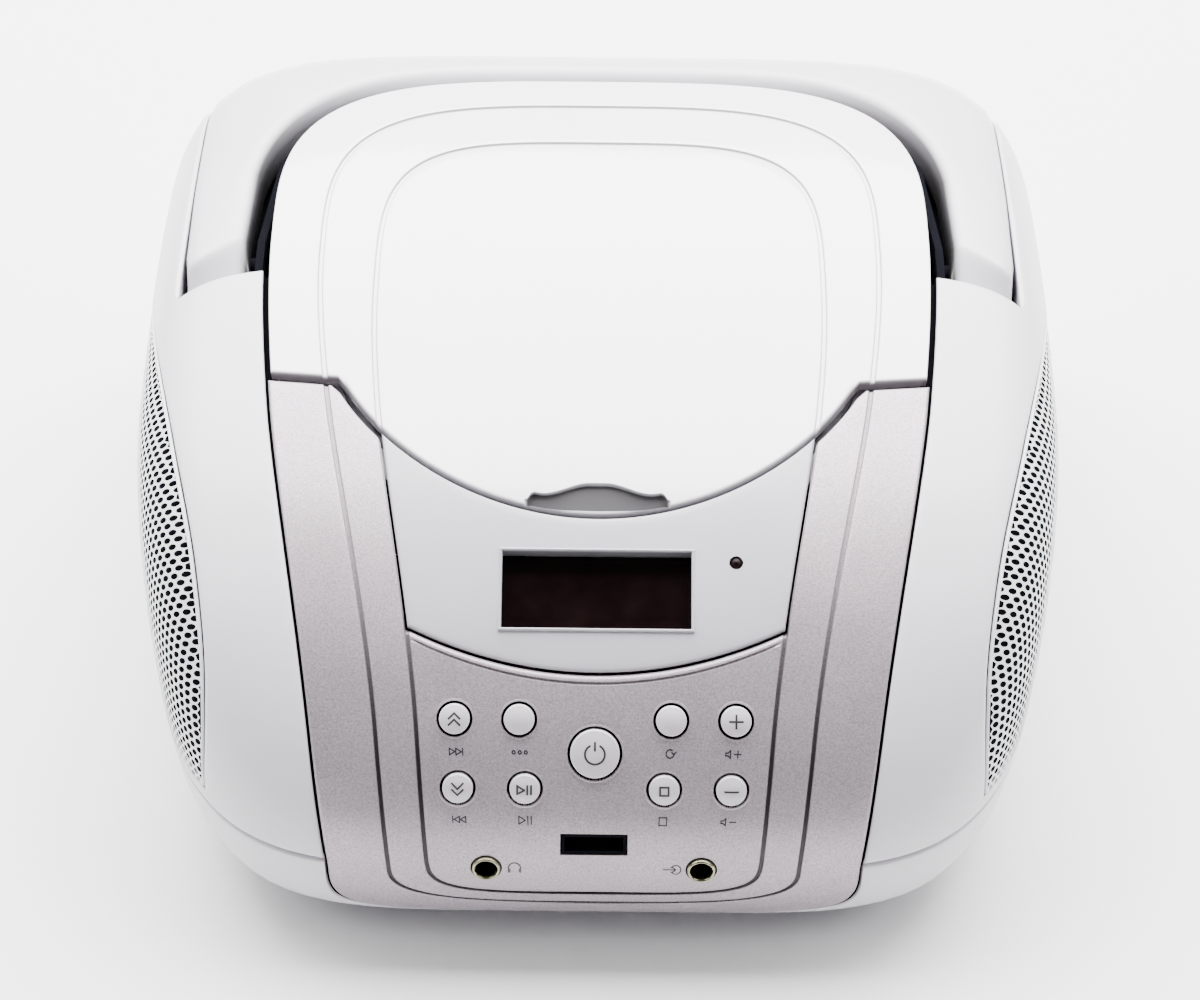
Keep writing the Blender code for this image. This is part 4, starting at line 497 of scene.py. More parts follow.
SEAM_EGG, OUTER_EGG, INNER_EGG = Line(**SEAM_LINE), Line(**OUTER_LINE), Line(**INNER_LINE)
EGGS = (None, INNER_EGG, OUTER_EGG, SEAM_EGG)


def disc_circle(xi, radius):
    """Front half of a circle round the disc, as a length along the profile."""
    return DISC - np.sqrt(np.clip(radius * radius - np.square(xi), 0.0, None))


def ear_line(xi):
    """Straight front edge of the lid's ears."""
    return EAR + EAR_SLOPE * (np.abs(xi) - EAR_MIDDLE)


def lid_front(xi, circle_growth=0.0, ear_growth=0.0):
    """Front edge of the lid: an arc round the disc between two straight ears."""
    return np.minimum(disc_circle(xi, LID_FRONT_CIRCLE + circle_growth), ear_line(xi) - ear_growth)


# Lanes run beside the moulded lines: (line, next line, share of the way, offset, groove share)

def groove_lanes(line):
    """Lanes across the groove along one moulded line."""
    return [(line, line, 0.0, offset, share) for offset, share in GROOVE_PROFILE]


def lanes(first_offsets, gap):
    """Lanes from the middle line out to the seam, where the edge is rounded."""
    found = [(0, 0, 0.0, offset, 0.0) for offset in first_offsets]
    start = first_offsets[-1] / INNER_LINE["low"]
    found += [(0, 1, share, 0.0, 0.0) for share in np.linspace(start, 0.95, 12)[1:]]
    found += groove_lanes(1)
    found += [(1, 2, share, 0.0, 0.0) for share in np.linspace(0.1, 0.9, 6)]
    found += groove_lanes(2)
    found += [(2, 3, share, 0.0, 0.0) for share in np.linspace(0.1, 0.9, 6)]
    found += [(3, 3, 0.0, -gap - EDGE_ROUND * step, 0.0) for step in reversed(EDGE_STEPS)]
    return found


def lane_places(columns, widths):
    """Distance of each lane from the middle line; widths holds those of each moulded line, lane by lane."""
    return np.array([widths[i][n] + share * (widths[j][n] - widths[i][n]) + offset
                     for n, (i, j, share, offset, _) in enumerate(columns)])


def side_row(columns, place):
    """Cross positions and lengths of one row beside the middle line; place gives the length over xi."""
    s = np.full(len(columns), EAR)
    for _ in range(12):
        widths = [np.zeros_like(s)] + [egg.half(s) for egg in EGGS[1:]]
        xi = lane_places(columns, widths)
        s = place(xi)
    return xi, s


def fan_row(columns, centre, angle, towards):
    """Cross positions and lengths of one row of the fan round an end of the moulded lines."""
    widths = [0.0] + [egg.reach(centre, angle, towards) for egg in EGGS[1:]]
    reach = lane_places(columns, [[width] * len(columns) for width in widths])
    return reach * math.sin(angle), centre + towards * reach * math.cos(angle)


def fan_angles(stretches):
    """Angles of a half fan, from the side to the middle, in stretches: (first, last, count) in degrees."""
    found = [np.linspace(first, last, count + 1)[1:] for first, last, count in stretches]
    return [math.radians(a) for a in np.concatenate(found)]


# Meshes

def grid_faces(rows, columns, keep=None, closed=False):
    """Quads of a grid of points; keep says which cells stay, and a closed grid joins its last column."""
    faces = []
    for i in range(rows - 1):
        for j in range(columns if closed else columns - 1):
            if keep is None or keep(i, j):
                k = (j + 1) % columns
                faces.append((i * columns + j, i * columns + k, (i + 1) * columns + k, (i + 1) * columns + j))
    return faces


def weld(points, faces):
    """Faces with equal points joined; a face that folds up is left out."""
    _, first, place = np.unique(np.round(points, 6) + 0.0, axis=0, return_index=True, return_inverse=True)
    keep = first[place.ravel()]
    joined = (tuple(dict.fromkeys(int(keep[n]) for n in face)) for face in faces)
    return [face for face in joined if len(face) > 2]


def thick(outer, inner, faces):
    """Closed shell between two layers of points: the faces on both, and walls along their border."""
    faces = weld(outer, faces)
    count = len(outer)
    used = {}
    for face in faces:
        for a, b in zip(face, face[1:] + face[:1]):
            used.setdefault((min(a, b), max(a, b)), []).append((a, b))
    both = list(faces) + [tuple(count + n for n in reversed(face)) for face in faces]
    for found in used.values():
        if len(found) == 1:
            a, b = found[0]
            both.append((b, a, count + a, count + b))
    return np.concatenate((outer, inner)), both


def make(name, points, faces, material, body, slot, replaced=(), groove=None):
    """Piece from points and faces, welded and smoothed, that rides on a body."""
    mesh = bpy.data.meshes.new(name)
    mesh.from_pydata([tuple(p) for p in points], [], faces)
    # The groove values become the groove attribute, which holds painted shade for the material
    if groove is not None:
        shade = mesh.attributes.new("groove", "FLOAT", "POINT")
        shade.data.foreach_set("value", np.asarray(groove, np.float32))
    bm = bmesh.new()
    bm.from_mesh(mesh)
    bmesh.ops.remove_doubles(bm, verts=bm.verts, dist=1e-6)
    bmesh.ops.dissolve_degenerate(bm, edges=bm.edges, dist=1e-7)
    loose = [v for v in bm.verts if not v.link_faces]
    bmesh.ops.delete(bm, geom=loose, context="VERTS")
    bmesh.ops.recalc_face_normals(bm, faces=bm.faces)
    bm.to_mesh(mesh)
    bm.free()
    return settle(name, mesh, material, body, slot, replaced)


def settle(name, mesh, material, body, slot, replaced=()):
    """Object for a finished mesh, smoothed, with its material and body; slot is not used."""
    mesh.shade_smooth()
    mesh.set_sharp_from_angle(angle=SMOOTH_ANGLE)
    mesh.materials.append(material)
    item = bpy.data.objects.new(name, mesh)
    bpy.context.scene.collection.objects.link(item)
    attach(item, body)
    if replaced:
        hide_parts(*replaced)
    return item


def cut(item, helper):
    """Cut a closed helper mesh out of a piece and keep the result as its mesh."""
    mesh = bpy.data.meshes.new("cutter")
    bmesh.ops.recalc_face_normals(helper, faces=helper.faces)
    helper.to_mesh(mesh)
    helper.free()
    tool = bpy.data.objects.new("cutter", mesh)
    bpy.context.scene.collection.objects.link(tool)
    modifier = item.modifiers.new("cut", "BOOLEAN")
    modifier.operation = "DIFFERENCE"
    modifier.solver = "MANIFOLD"
    modifier.object = tool
    graph = bpy.context.evaluated_depsgraph_get()
    result = bpy.data.meshes.new_from_object(item.evaluated_get(graph))
    item.modifiers.clear()
    item.data = result
    result.set_sharp_from_angle(angle=SMOOTH_ANGLE)
    bpy.data.objects.remove(tool)
    return item


def lathe_points(outline, at, segments):
    """Points and faces turned round the local Z axis of a frame; a radius of 0 closes an end."""
    points = []
    for radius, height in outline:
        for i in range(segments):
            turn = math.tau * i / segments
            points.append(at @ Vector((radius * math.cos(turn), radius * math.sin(turn), height)))
    return points, grid_faces(len(outline), segments, closed=True)


def gather(shapes):
    """Points and faces of several shapes as those of one."""
    points, faces = [], []
    for found, rings in shapes:
        faces += [tuple(len(points) + n for n in face) for face in rings]
        points += found
    return points, faces


def add_box(bm, size, at):
    """Add a box, centred on a frame, to a mesh."""
    bmesh.ops.create_cube(bm, size=1.0, matrix=at @ Matrix.Diagonal((*size, 1)))


def add_rod(bm, radius, low, high, at, segments=48):
    """Add a rod along a frame's Z axis to a mesh."""
    middle = at @ Matrix.Translation((0, 0, (low + high) / 2))
    bmesh.ops.create_cone(bm, cap_ends=True, segments=segments, radius1=radius, radius2=radius,
                          depth=high - low, matrix=middle)


# Materials

class Finish:
    """Procedural material: a principled shader fed with noise at two scales."""

    def __init__(self, name, colour, roughness, metallic=0.0, coat=0.0, specular=0.5):
        self.material = bpy.data.materials.new(name)
        self.material.use_nodes = True
        self.nodes = self.material.node_tree.nodes
        self.links = self.material.node_tree.links
        self.shader = self.nodes["Principled BSDF"]
        self.place = self.nodes.new("ShaderNodeTexCoord").outputs["Object"]
        self.colour = colour
        self.shader.inputs["Metallic"].default_value = metallic
        self.shader.inputs["Coat Weight"].default_value = coat
        self.shader.inputs["Coat Roughness"].default_value = 0.08
        self.shader.inputs["Specular IOR Level"].default_value = specular
        self.roughness = roughness

    def noise(self, scale, detail=3.0):
        """Noise over the piece's own place."""
        node = self.nodes.new("ShaderNodeTexNoise")
        node.inputs["Scale"].default_value = scale
        node.inputs["Detail"].default_value = detail
        self.links.new(self.place, node.inputs["Vector"])
        return node.outputs["Fac"]

    def spread(self, source, low, high):
        """A value mapped to a range."""
        node = self.nodes.new("ShaderNodeMapRange")
        node.inputs["From Min"].default_value = 0.3
        node.inputs["From Max"].default_value = 0.7
        node.inputs["To Min"].default_value = low
        node.inputs["To Max"].default_value = high
        self.links.new(source, node.inputs["Value"])
        return node.outputs["Result"]

    def mix(self, factor, one, two):
        """Mix of two colours, each a plain colour or another node's output."""
        node = self.nodes.new("ShaderNodeMix")
        node.data_type = "RGBA"
        self.links.new(factor, node.inputs["Factor"])
        for socket, value in ((node.inputs["A"], one), (node.inputs["B"], two)):
            if isinstance(value, tuple):
                socket.default_value = (*value, 1.0)
            else:
                self.links.new(value, socket)
        return node.outputs["Result"]

    def shade(self, amount):
        """The base colour, lightened or darkened."""
        return tuple(min(c * amount, 1.0) for c in self.colour)

    def wear(self, blotch, grain, variation, sparkle, swing, bump, distance):
        """Blotches and grain in the colour, grain in the roughness and in the bump."""
        fine = self.noise(grain)
        wide = self.noise(blotch)
        colour = self.mix(self.spread(wide, 0.0, 1.0), self.shade(1 - variation), self.shade(1 + variation))
        if sparkle:
            grey = self.mix(self.spread(fine, 0.0, 1.0), self.shade(1 - sparkle), self.shade(1 + sparkle))
            node = self.nodes.new("ShaderNodeMix")
            node.data_type = "RGBA"
            node.inputs["Factor"].default_value = 0.5
            self.links.new(colour, node.inputs["A"])
            self.links.new(grey, node.inputs["B"])
            colour = node.outputs["Result"]
        self.base = colour
        rough = self.spread(wide, self.roughness - swing, self.roughness + swing)
        self.links.new(rough, self.shader.inputs["Roughness"])
        node = self.nodes.new("ShaderNodeBump")
        node.inputs["Strength"].default_value = bump
        node.inputs["Distance"].default_value = distance
        self.links.new(fine, node.inputs["Height"])
        self.links.new(node.outputs["Normal"], self.shader.inputs["Normal"])
        return self

    def painted_shade(self, dark):
        """Painted shade: darker colour where the mesh's groove attribute asks, in the moulded lines and at
        other shaded edges and hollows.
        """
        node = self.nodes.new("ShaderNodeAttribute")
        node.attribute_name = "groove"
        self.base = self.mix(node.outputs["Fac"], self.base, self.shade(dark))
        return self

    def done(self):
        """The finished material."""
        self.links.new(self.base, self.shader.inputs["Base Color"])
        return self.material


def plastic(name, colour, roughness, coat=0.0, grain=2600, bump=0.08):
    """Moulded plastic with a faint orange peel and slight blotches."""
    return Finish(name, colour, roughness, 0.0, coat).wear(45, grain, 0.015, 0.0, 0.05, bump, 1.5e-5)


def metal(name, colour, roughness, grain=1800, bump=0.10):
    """Plated or drawn metal with fine scratches in its roughness."""
    return Finish(name, colour, roughness, 1.0).wear(80, grain, 0.06, 0.05, 0.07, bump, 1e-5)


def make_finishes():
    """Material of every slot of the record."""
    found = {
        "gloss_white": plastic("gloss_white", (0.88, 0.845, 0.90), 0.20, 0.5, 900, 0.04),
        "satin_white": plastic("satin_white", (0.64, 0.615, 0.66), 0.36, 0.1),
        "insert_white": plastic("insert_white", (0.42, 0.405, 0.445), 0.34, 0.1, 900, 0.05),
        "silver_paint": Finish("silver_paint", (0.35, 0.305, 0.335), 0.42, 0.42)
        .wear(60, 2600, 0.025, 0.55, 0.05, 0.35, 2.5e-5),
        "grille_white": Finish("grille_white", (0.76, 0.75, 0.79), 0.42)
        .wear(60, 3000, 0.02, 0.0, 0.05, 0.1, 1.5e-5),
        "button_silver": Finish("button_silver", (0.58, 0.54, 0.575), 0.32, 0.1, 0.2)
        .wear(120, 4200, 0.02, 0.08, 0.05, 0.1, 1.2e-5),
        "dark_window": Finish("dark_window", (0.0035, 0.0012, 0.0014), 0.22, specular=0.12)
        .wear(200, 1500, 0.3, 0.0, 0.03, 0.02, 5e-6),
        "black_plastic": Finish("black_plastic", (0.006, 0.006, 0.0075), 0.55, specular=0.25)
        .wear(45, 1800, 0.2, 0.0, 0.05, 0.2, 1.5e-5),
        # Dead black: real black on the pins and jack bores, painted shade in the seams, button wells, grille
        # backing and shaded nodes
        "black_and_painted_shade": Finish("black_and_painted_shade", (0.004, 0.004, 0.006), 0.85, specular=0.02)
        .wear(45, 1800, 0.2, 0.0, 0.05, 0.2, 1.5e-5),
        "grey_plastic": plastic("grey_plastic", (0.26, 0.26, 0.28), 0.48, 0.0, 1800, 0.2),
        "dark_steel": metal("dark_steel", (0.045, 0.045, 0.05), 0.45),
        "bright_steel": metal("bright_steel", (0.74, 0.74, 0.76), 0.18),
        "brass": metal("brass", (0.30, 0.285, 0.19), 0.28),
        "green_board": Finish("green_board", (0.025, 0.17, 0.085), 0.42, 0.0, 0.3)
        .wear(300, 900, 0.3, 0.2, 0.06, 0.3, 4e-5),
        "rubber": Finish("rubber", (0.035, 0.035, 0.036), 0.80).wear(90, 2200, 0.2, 0.1, 0.06, 0.3, 4e-5),
        "paper_cone": Finish("paper_cone", (0.05, 0.05, 0.055), 0.82)
        .wear(150, 1400, 0.2, 0.25, 0.05, 0.4, 6e-5),
        "clear_lens": Finish("clear_lens", (0.30, 0.35, 0.58), 0.06, 0.0, 1.0)
        .wear(300, 900, 0.1, 0.0, 0.02, 0.02, 5e-6),
        "red_lens": Finish("red_lens", (0.006, 0.002, 0.002), 0.30, specular=0.08)
        .wear(300, 900, 0.1, 0.0, 0.04, 0.03, 5e-6),
        "white_nylon": plastic("white_nylon", (0.80, 0.79, 0.74), 0.48),
        "sign_grey": plastic("sign_grey", (0.025, 0.023, 0.028), 0.55),
        "sign_dark": plastic("sign_dark", (0.012, 0.012, 0.016), 0.55),
    }
    # Painted shade from the groove attribute: lid lines, edge and notch; panel lines; window wall; handle's
    # inner face
    found["gloss_white"].painted_shade(0.03)
    found["silver_paint"].painted_shade(0.05)
    found["insert_white"].painted_shade(0.05)
    found["satin_white"].painted_shade(0.01)
    return {name: finish.done() for name, finish in found.items()}


# Lid and front panel

def notch_reach(xi):
    """How far the finger notch reaches back from the lid's front edge."""
    share = np.clip(np.abs(xi) / NOTCH_HALF_WIDTH, 0.0, 1.0)
    shoulder = np.clip((1 - share) / NOTCH_SHOULDER_WIDTH, 0.0, 1.0) ** NOTCH_SHOULDER_POWER
    crown = ease((NOTCH_CROWN_START - share) / NOTCH_CROWN_WIDTH)
    return NOTCH_LENGTH * (NOTCH_SHOULDER_SHARE * shoulder + (1 - NOTCH_SHOULDER_SHARE) * crown)


def build_lid(finish):
    """Lid with its moulded lines, rounded edges and finger notch, all three darkened with painted shade."""
    gap = LID_SEAM - SEAM / 2
    columns = lanes([0.001 * n for n in np.linspace(0, 17.5, 25)], gap)
    centre = INNER_EGG.widest
    shares = (0.0, 0.05, 0.12, 0.18, 0.22, 0.32, 0.55, 0.78, 0.88, 0.95, 1.0, 1.04, 1.15, 1.35, 1.6)
    rows, depths = [], []

    def edge_reach(xi):
        return np.maximum(notch_reach(xi), 2 * EDGE_ROUND)

    def add(xi, s):
        ahead = np.maximum(LID_FRONT_CIRCLE - np.hypot(xi, DISC - s), s - ear_line(xi))
        reach = notch_reach(xi)
        share = (s - lid_front(xi)) / np.maximum(reach, 1e-6)
        scoop = NOTCH_EDGE_DEPTH + (NOTCH_FRONT_DEPTH - NOTCH_EDGE_DEPTH) * (1 - np.clip(share, 0, 1))
        inside = (reach > 2 * EDGE_ROUND) & (share < 0.96) & (share * NOTCH_LENGTH > NOTCH_LIP)
        rim = np.array([-c[3] - gap if c[0] == 3 else 1.0 for c in columns])
        groove = np.array([c[4] for c in columns])
        # Painted shade: grey band on the rounded front edge, grey walls of the lines, dark notch
        edge = LID_EDGE_SHADE * (1 - ease(ahead / (1.6 * EDGE_ROUND)))
        depth = np.maximum(rounded(np.minimum(ahead, rim)), np.where(inside, scoop, 0.0))
        walls = (groove > 0) & (groove < 1)
        shade = np.maximum(np.maximum(LID_GROOVE_SHADE * walls, edge), np.where(inside, NOTCH_SHADE, 0.0))
        rows.append((xi, s))
        depths.append((depth + GROOVE_DEPTH * groove, shade))

    def side_rows(side):
        found = []
        for share in shares:
            found.append(side_row(columns, lambda xi: lid_front(xi) + share * edge_reach(xi)))
        for share in np.linspace(0, 1, 26)[1:]:
            def place(xi):
                start = lid_front(xi) + shares[-1] * edge_reach(xi)
                return start + share * (centre - start)
            found.append(side_row(columns, place))
        return [(side * xi, s) for xi, s in found]

    for xi, s in side_rows(-1):
        add(xi, s)
    angles = fan_angles(LID_FAN)
    for angle in [-a for a in angles] + list(reversed(angles[:-1])):
        add(*fan_row(columns, centre, angle, 1))
    for xi, s in reversed(side_rows(1)):
        add(xi, s)
    xi, s = (np.array([row[n] for row in rows]) for n in (0, 1))
    depth, shade = (np.array([row[n] for row in depths]) for n in (0, 1))
    outer = skin(xi, s, depth).reshape(-1, 3)
    inner = skin(xi, s, LID_THICKNESS).reshape(-1, 3)
    points, faces = thick(outer, inner, grid_faces(*xi.shape))
    shade = np.tile(shade.ravel(), 2)
    return make("lid_shell", points, faces, finish["gloss_white"], "lid", "gloss_white", ("lid",), shade)


def seam_path():
    """Places (xi, s) of one side of the seam, from the bottom round the corner to the side casing's top."""
    angles = [a for a in reversed(fan_angles(PANEL_FAN)) if a > LINER_ANGLE]
    reaches = np.array([SEAM_EGG.reach(PANEL_CENTRE, angle, -1) for angle in angles])
    s = np.linspace(PANEL_CENTRE, POD_TOP, 60)
    xi = np.concatenate((reaches * np.sin(angles), SEAM_EGG.half(s)))
    return np.stack((xi, np.concatenate((PANEL_CENTRE - reaches * np.cos(angles), s))))


def build_seam_shade_strips(finish):
    """Dark strips behind the seams beside the lid and the front panel: painted shade that makes the gaps look
    black.
    """
    path = seam_path()
    run = np.gradient(path, axis=1)
    out = np.stack((run[1], -run[0])) / np.hypot(*run)
    gap = np.where(path[1] > POD_FOOT, SEAM / 2, SEAM * np.abs(out[1])) - FIT / 6
    strip = ((gap, LINER_DEPTHS[0]), (gap, LINER_DEPTHS[1]), (gap - LINER_REACH, LINER_DEPTHS[1]))
    for label, side in (("left", -1), ("right", 1)):
        places = [(path + offset * out, depth) for offset, depth in strip]
        front = np.array([skin(side * xi, s, depth) for (xi, s), depth in places])
        back = np.array([skin(side * xi, s, depth + LINER_THICKNESS) for (xi, s), depth in places])
        points, faces = thick(front.reshape(-1, 3), back.reshape(-1, 3), grid_faces(3, path.shape[1]))
        make(label + "_seam_shade_strip", points, faces, finish["black_and_painted_shade"], "body", "black_plastic")


def build_front_panel(finish):
    """Silver fascia with its moulded lines, open for the display panel, the buttons and the sockets."""
    columns = lanes([0.001 * n for n in np.linspace(0, 15, 9)], SEAM / 2)
    inner_edge = columns.index((1, 1, 0.0, GROOVE_PROFILE[4][0], GROOVE_PROFILE[4][1]))
    centre = PANEL_CENTRE
    upper_shares = [step * EDGE_ROUND for step in EDGE_STEPS]
    arc_offsets = [step * ARC_ROUND for step in EDGE_STEPS] + [offset for offset, _ in ARC_LINE_PROFILE]
    rows, kinds = [], []

    def top(xi):
        return lid_front(xi, EAR_GAP, EAR_GAP)

    def arc(xi):
        return disc_circle(xi, DISPLAY_CIRCLE + SEAM)

    def side_rows():
        found = []
        for offset in upper_shares:
            found.append((side_row(columns, lambda xi: top(xi) - offset), True))
        for share in np.linspace(0, 1, 16)[1:-1]:
            def place(xi):
                start = top(xi) - upper_shares[-1]
                return start + share * (arc(xi) - start)
            found.append((side_row(columns, place), True))
        for offset in arc_offsets:
            found.append((side_row(columns, lambda xi: arc(xi) - offset), False))
        for share in np.linspace(0, 1, 22)[1:]:
            def place(xi):
                start = arc(xi) - arc_offsets[-1]
                return start + share * (centre - start)
            found.append((side_row(columns, place), False))
        return found

    def add(xi, s, above):
        rows.append((xi, s))
        kinds.append(above)

    beside = side_rows()
    for (xi, s), above in beside:
        add(-xi, s, above)
    angles = fan_angles(PANEL_FAN)
    for angle in [-a for a in angles] + list(reversed(angles[:-1])):
        add(*fan_row(columns, centre, angle, -1), False)
    for (xi, s), above in reversed(beside):
        add(xi, s, above)
    xi, s = (np.array([row[n] for row in rows]) for n in (0, 1))
    groove = np.tile([c[4] for c in columns], (len(rows), 1))
    rim = np.tile([-c[3] - SEAM / 2 if c[0] == 3 else 1.0 for c in columns], (len(rows), 1))
    ahead = top(xi) - s
    under = np.where(np.array(kinds)[:, None] | (np.arange(len(columns)) > inner_edge), 1.0, arc(xi) - s)
    under = np.where(s > centre - 1e-9, under, 1.0)
    line = np.interp(under, *zip(*ARC_LINE_PROFILE))
    line[:, columns.index((1, 1, 0.0, *GROOVE_PROFILE[0])):] = 0.0
    depth = np.maximum(rounded(np.minimum(ahead, rim)), rounded(under, ARC_ROUND))
    depth += GROOVE_DEPTH * groove + ARC_LINE_DEPTH * line
    outer = skin(xi, s, depth).reshape(-1, 3)
    inner = skin(xi, s, SHELL).reshape(-1, 3)

    def keep(i, j):
        return j >= inner_edge or not (kinds[i] or kinds[i + 1])
    points, faces = thick(outer, inner, grid_faces(*xi.shape, keep))
    # Painted shade: the panel's lines darker towards the bottom, and the line under the display panel
    fading = ease((PANEL_SHADE_START - s) / PANEL_SHADE_RUN)
    shade = PANEL_LINE_SHADE + (1 - PANEL_LINE_SHADE) * fading
    darkness = np.maximum(groove * shade, ARC_LINE_SHADE * line)
    darkness = np.concatenate((darkness.ravel(), np.zeros(groove.size)))
    panel = make("front_fascia", points, faces, finish["silver_paint"], "body", "silver_paint",
                 ("front_panel",), darkness)
    holes = bmesh.new()
    for across, along, radius in BUTTONS.values():
        add_rod(holes, radius + BUTTON_CLEARANCE, -2 * SHELL, SHELL, skin_frame(across, along))
    for across, along in JACK_PLACES.values():
        add_rod(holes, JACK_RADIUS + FIT, -2 * SHELL, SHELL, skin_frame(across, along))
    add_box(holes, (USB_SIZE[0] + 2 * FIT, USB_SIZE[1] + 2 * FIT, 6 * SHELL), skin_frame(0.0, USB_ALONG))
    return cut(panel, holes)


def build_display_panel(finish):
    """Whiter insert with rounded edges, the window frame and the lamp hole."""
    gap = GROOVE_PROFILE[4][0]
    us = [u / DISPLAY_HALF_WIDTH for u in edged(-DISPLAY_HALF_WIDTH, DISPLAY_HALF_WIDTH, 40)]

    def low(xi):
        return disc_circle(xi, DISPLAY_CIRCLE)

    def high(xi):
        return lid_front(xi, SEAM)

    fronts = edged(0.0, 1.0, 24, EDGE_ROUND / DISPLAY_LENGTH)
    us, fronts = np.meshgrid(us, fronts)
    s = np.full(us.shape, DISPLAY_MIDDLE)
    for _ in range(12):
        xi = us * (INNER_EGG.half(s) - gap)
        s = low(xi) + fronts * (high(xi) - low(xi))
    side = (1 - np.abs(us)) * INNER_EGG.half(s)
    depth = rounded(np.minimum(np.minimum(side, s - low(xi)), high(xi) - s))
    outer, inner = skin(xi, s, depth).reshape(-1, 3), skin(xi, s, SHELL).reshape(-1, 3)
    points, faces = thick(outer, inner, grid_faces(*us.shape))
    panel = make("display_insert", points, faces, finish["insert_white"], "body", "gloss_white",
                 ("display_panel",))
    at = skin_frame(0.0, WINDOW_ALONG)
    holes = bmesh.new()
    add_box(holes, (*WINDOW_SIZE, 8 * SHELL), at)
    add_rod(holes, LED_RADIUS + FIT, -2 * SHELL, SHELL, skin_frame(*LED_PLACE))
    cut(panel, holes)
    return panel


# Side casings, base and grilles

def outline_reaches(start, dy, dz, inset=0.0):
    """Shares of rays from a start (y, z) that lie within the grille's oval and above its foot."""
    a, b = (axis - inset for axis in GRILLE_AXES)
    oy, oz = start[0] - GRILLE_CENTRE[0], start[1] - GRILLE_CENTRE[1]
    square = (dy / a) ** 2 + (dz / b) ** 2
    linear = 2 * (oy * dy / a ** 2 + oz * dz / b ** 2)
    rest = (oy / a) ** 2 + (oz / b) ** 2 - 1
    oval = (np.sqrt(linear ** 2 - 4 * square * rest) - linear) / (2 * square)
    foot = np.where(dz < 0, (GRILLE_FOOT_Z + inset - start[1]) / np.minimum(dz, -1e-9), np.inf)
    return oval, foot


def grille_reaches(s):
    """Shares of the rays from the side's middle to the profile at s that lie within the grille."""
    y, z = profile(s)
    return outline_reaches((CENTRE_Y, CENTRE_Z), y - CENTRE_Y, z - CENTRE_Z)


def grille_angle(s, gap):
    """Cross angles of the grille's edge on the rays at s, moved outwards by gap along the ray."""
    shape = np.shape(s)
    s = np.ravel(s)
    y, z = profile(s)
    ray = np.hypot(y - CENTRE_Y, z - CENTRE_Z)
    share = np.minimum(*grille_reaches(s)) + gap / ray
    return np.arccos(np.minimum(share, 1.0) ** (FULLNESS / 2)).reshape(shape)


def corner_lengths(low, high):
    """Length between two lengths where the grille's oval meets its foot."""
    s = np.linspace(low, high, 4000)
    oval, foot = grille_reaches(s)
    return float(s[np.argmin(np.abs(oval - np.minimum(foot, 9.0)))])


def span(points, column):
    """Distance of every point of a grid from the point of its row in one column."""
    return np.linalg.norm(points - points[:, column:column + 1], axis=-1)


def build_pod(name, side, finish):
    """Side casing from the seam to the grille, with rounded edges and a lip beside the lid and the handle."""
    arm = float(cross_angle(HANDLE_HALF_WIDTH + SEAM))
    first = float(cross_angle(SEAM_EGG.half(POD_TOP) + SEAM / 2))
    last = float(grille_angle(np.array([POD_TOP]), GRILLE_GAP)[0])
    split = (arm - first) / (last - first)
    near = EDGE_ROUND / POD_WIDTH
    inner_shares = edged(0.0, split, 16, near)
    shares = np.array(inner_shares + edged(split, 1.0, 14, near)[1:])
    turn = len(inner_shares) - 1
    corner = corner_lengths(station(0), NARROW)
    front = edged(POD_FOOT, corner, 8, end=False) + edged(corner, POD_TOP, 60, start=False)[1:]
    rows = np.array(front + edged(POD_TOP, POD_REAR, 50, start=False)[1:])
    top = len(front) - 1
    level, w = np.meshgrid(rows, shares, indexing="ij")
    behind = level > POD_TOP
    across = np.minimum(w / split, 1.0)
    drop = POD_TOP_DROP * across ** 2 * np.minimum((1 - w) / (1 - split), 1.0)
    s = level - drop * np.where(behind, (POD_REAR - level) / (POD_REAR - POD_TOP),
                                ease((level - EAR) / (POD_TOP - EAR)))
    start = np.where(behind, arm, cross_angle(SEAM_EGG.half(s) + SEAM / 2))
    share = np.where(behind, (w - split) / (1 - split), w)
    angle = start + np.clip(share, 0.0, 1.0) * (grille_angle(s, GRILLE_GAP) - start)
    flat = skin_at(angle, s)
    edge = np.where(behind, span(flat, turn), span(flat, 0))
    edge = np.minimum(edge, span(flat, len(shares) - 1))
    edge = np.minimum(edge, np.minimum(level - POD_FOOT, POD_REAR - level))
    edge = np.minimum(edge, np.where(w < split, POD_TOP - level, 1.0))
    lip = np.where(np.arange(len(shares)) < len(EDGE_STEPS), np.where(s >= EAR, DECK_LIP, SHELL), SHELL)
    lip = np.where(behind & (np.arange(len(shares)) < turn + len(EDGE_STEPS)), CHANNEL_LIP, lip)
    lip = np.where((POD_TOP - level < EDGE_ROUND * 1.01) & (w < split + near), CHANNEL_LIP, lip)
    outer = skin_deep(angle, s, rounded(np.clip(edge, 0.0, None)))
    inner = np.where((lip > SHELL)[..., None], skin_deep(angle, s, lip, True), skin_deep(angle, s, lip))
    mirror = np.array((side, 1, 1))
    faces = grid_faces(*s.shape, lambda i, j: i < top or j >= turn)
    points, faces = thick((outer * mirror).reshape(-1, 3), (inner * mirror).reshape(-1, 3), faces)
    make(name + "_casing", points, faces, finish["satin_white"], "body", "satin_white", (name,))


def aerial_sink(xi):
    """Depth of the aerial's recess, which runs out towards both sides."""
    share = (AERIAL_RUN_OUT - np.abs(xi)) / (AERIAL_RUN_OUT - AERIAL_RECESS_HALF_WIDTH)
    return AERIAL_RECESS_DEPTH * np.clip(share, 0.0, 1.0)


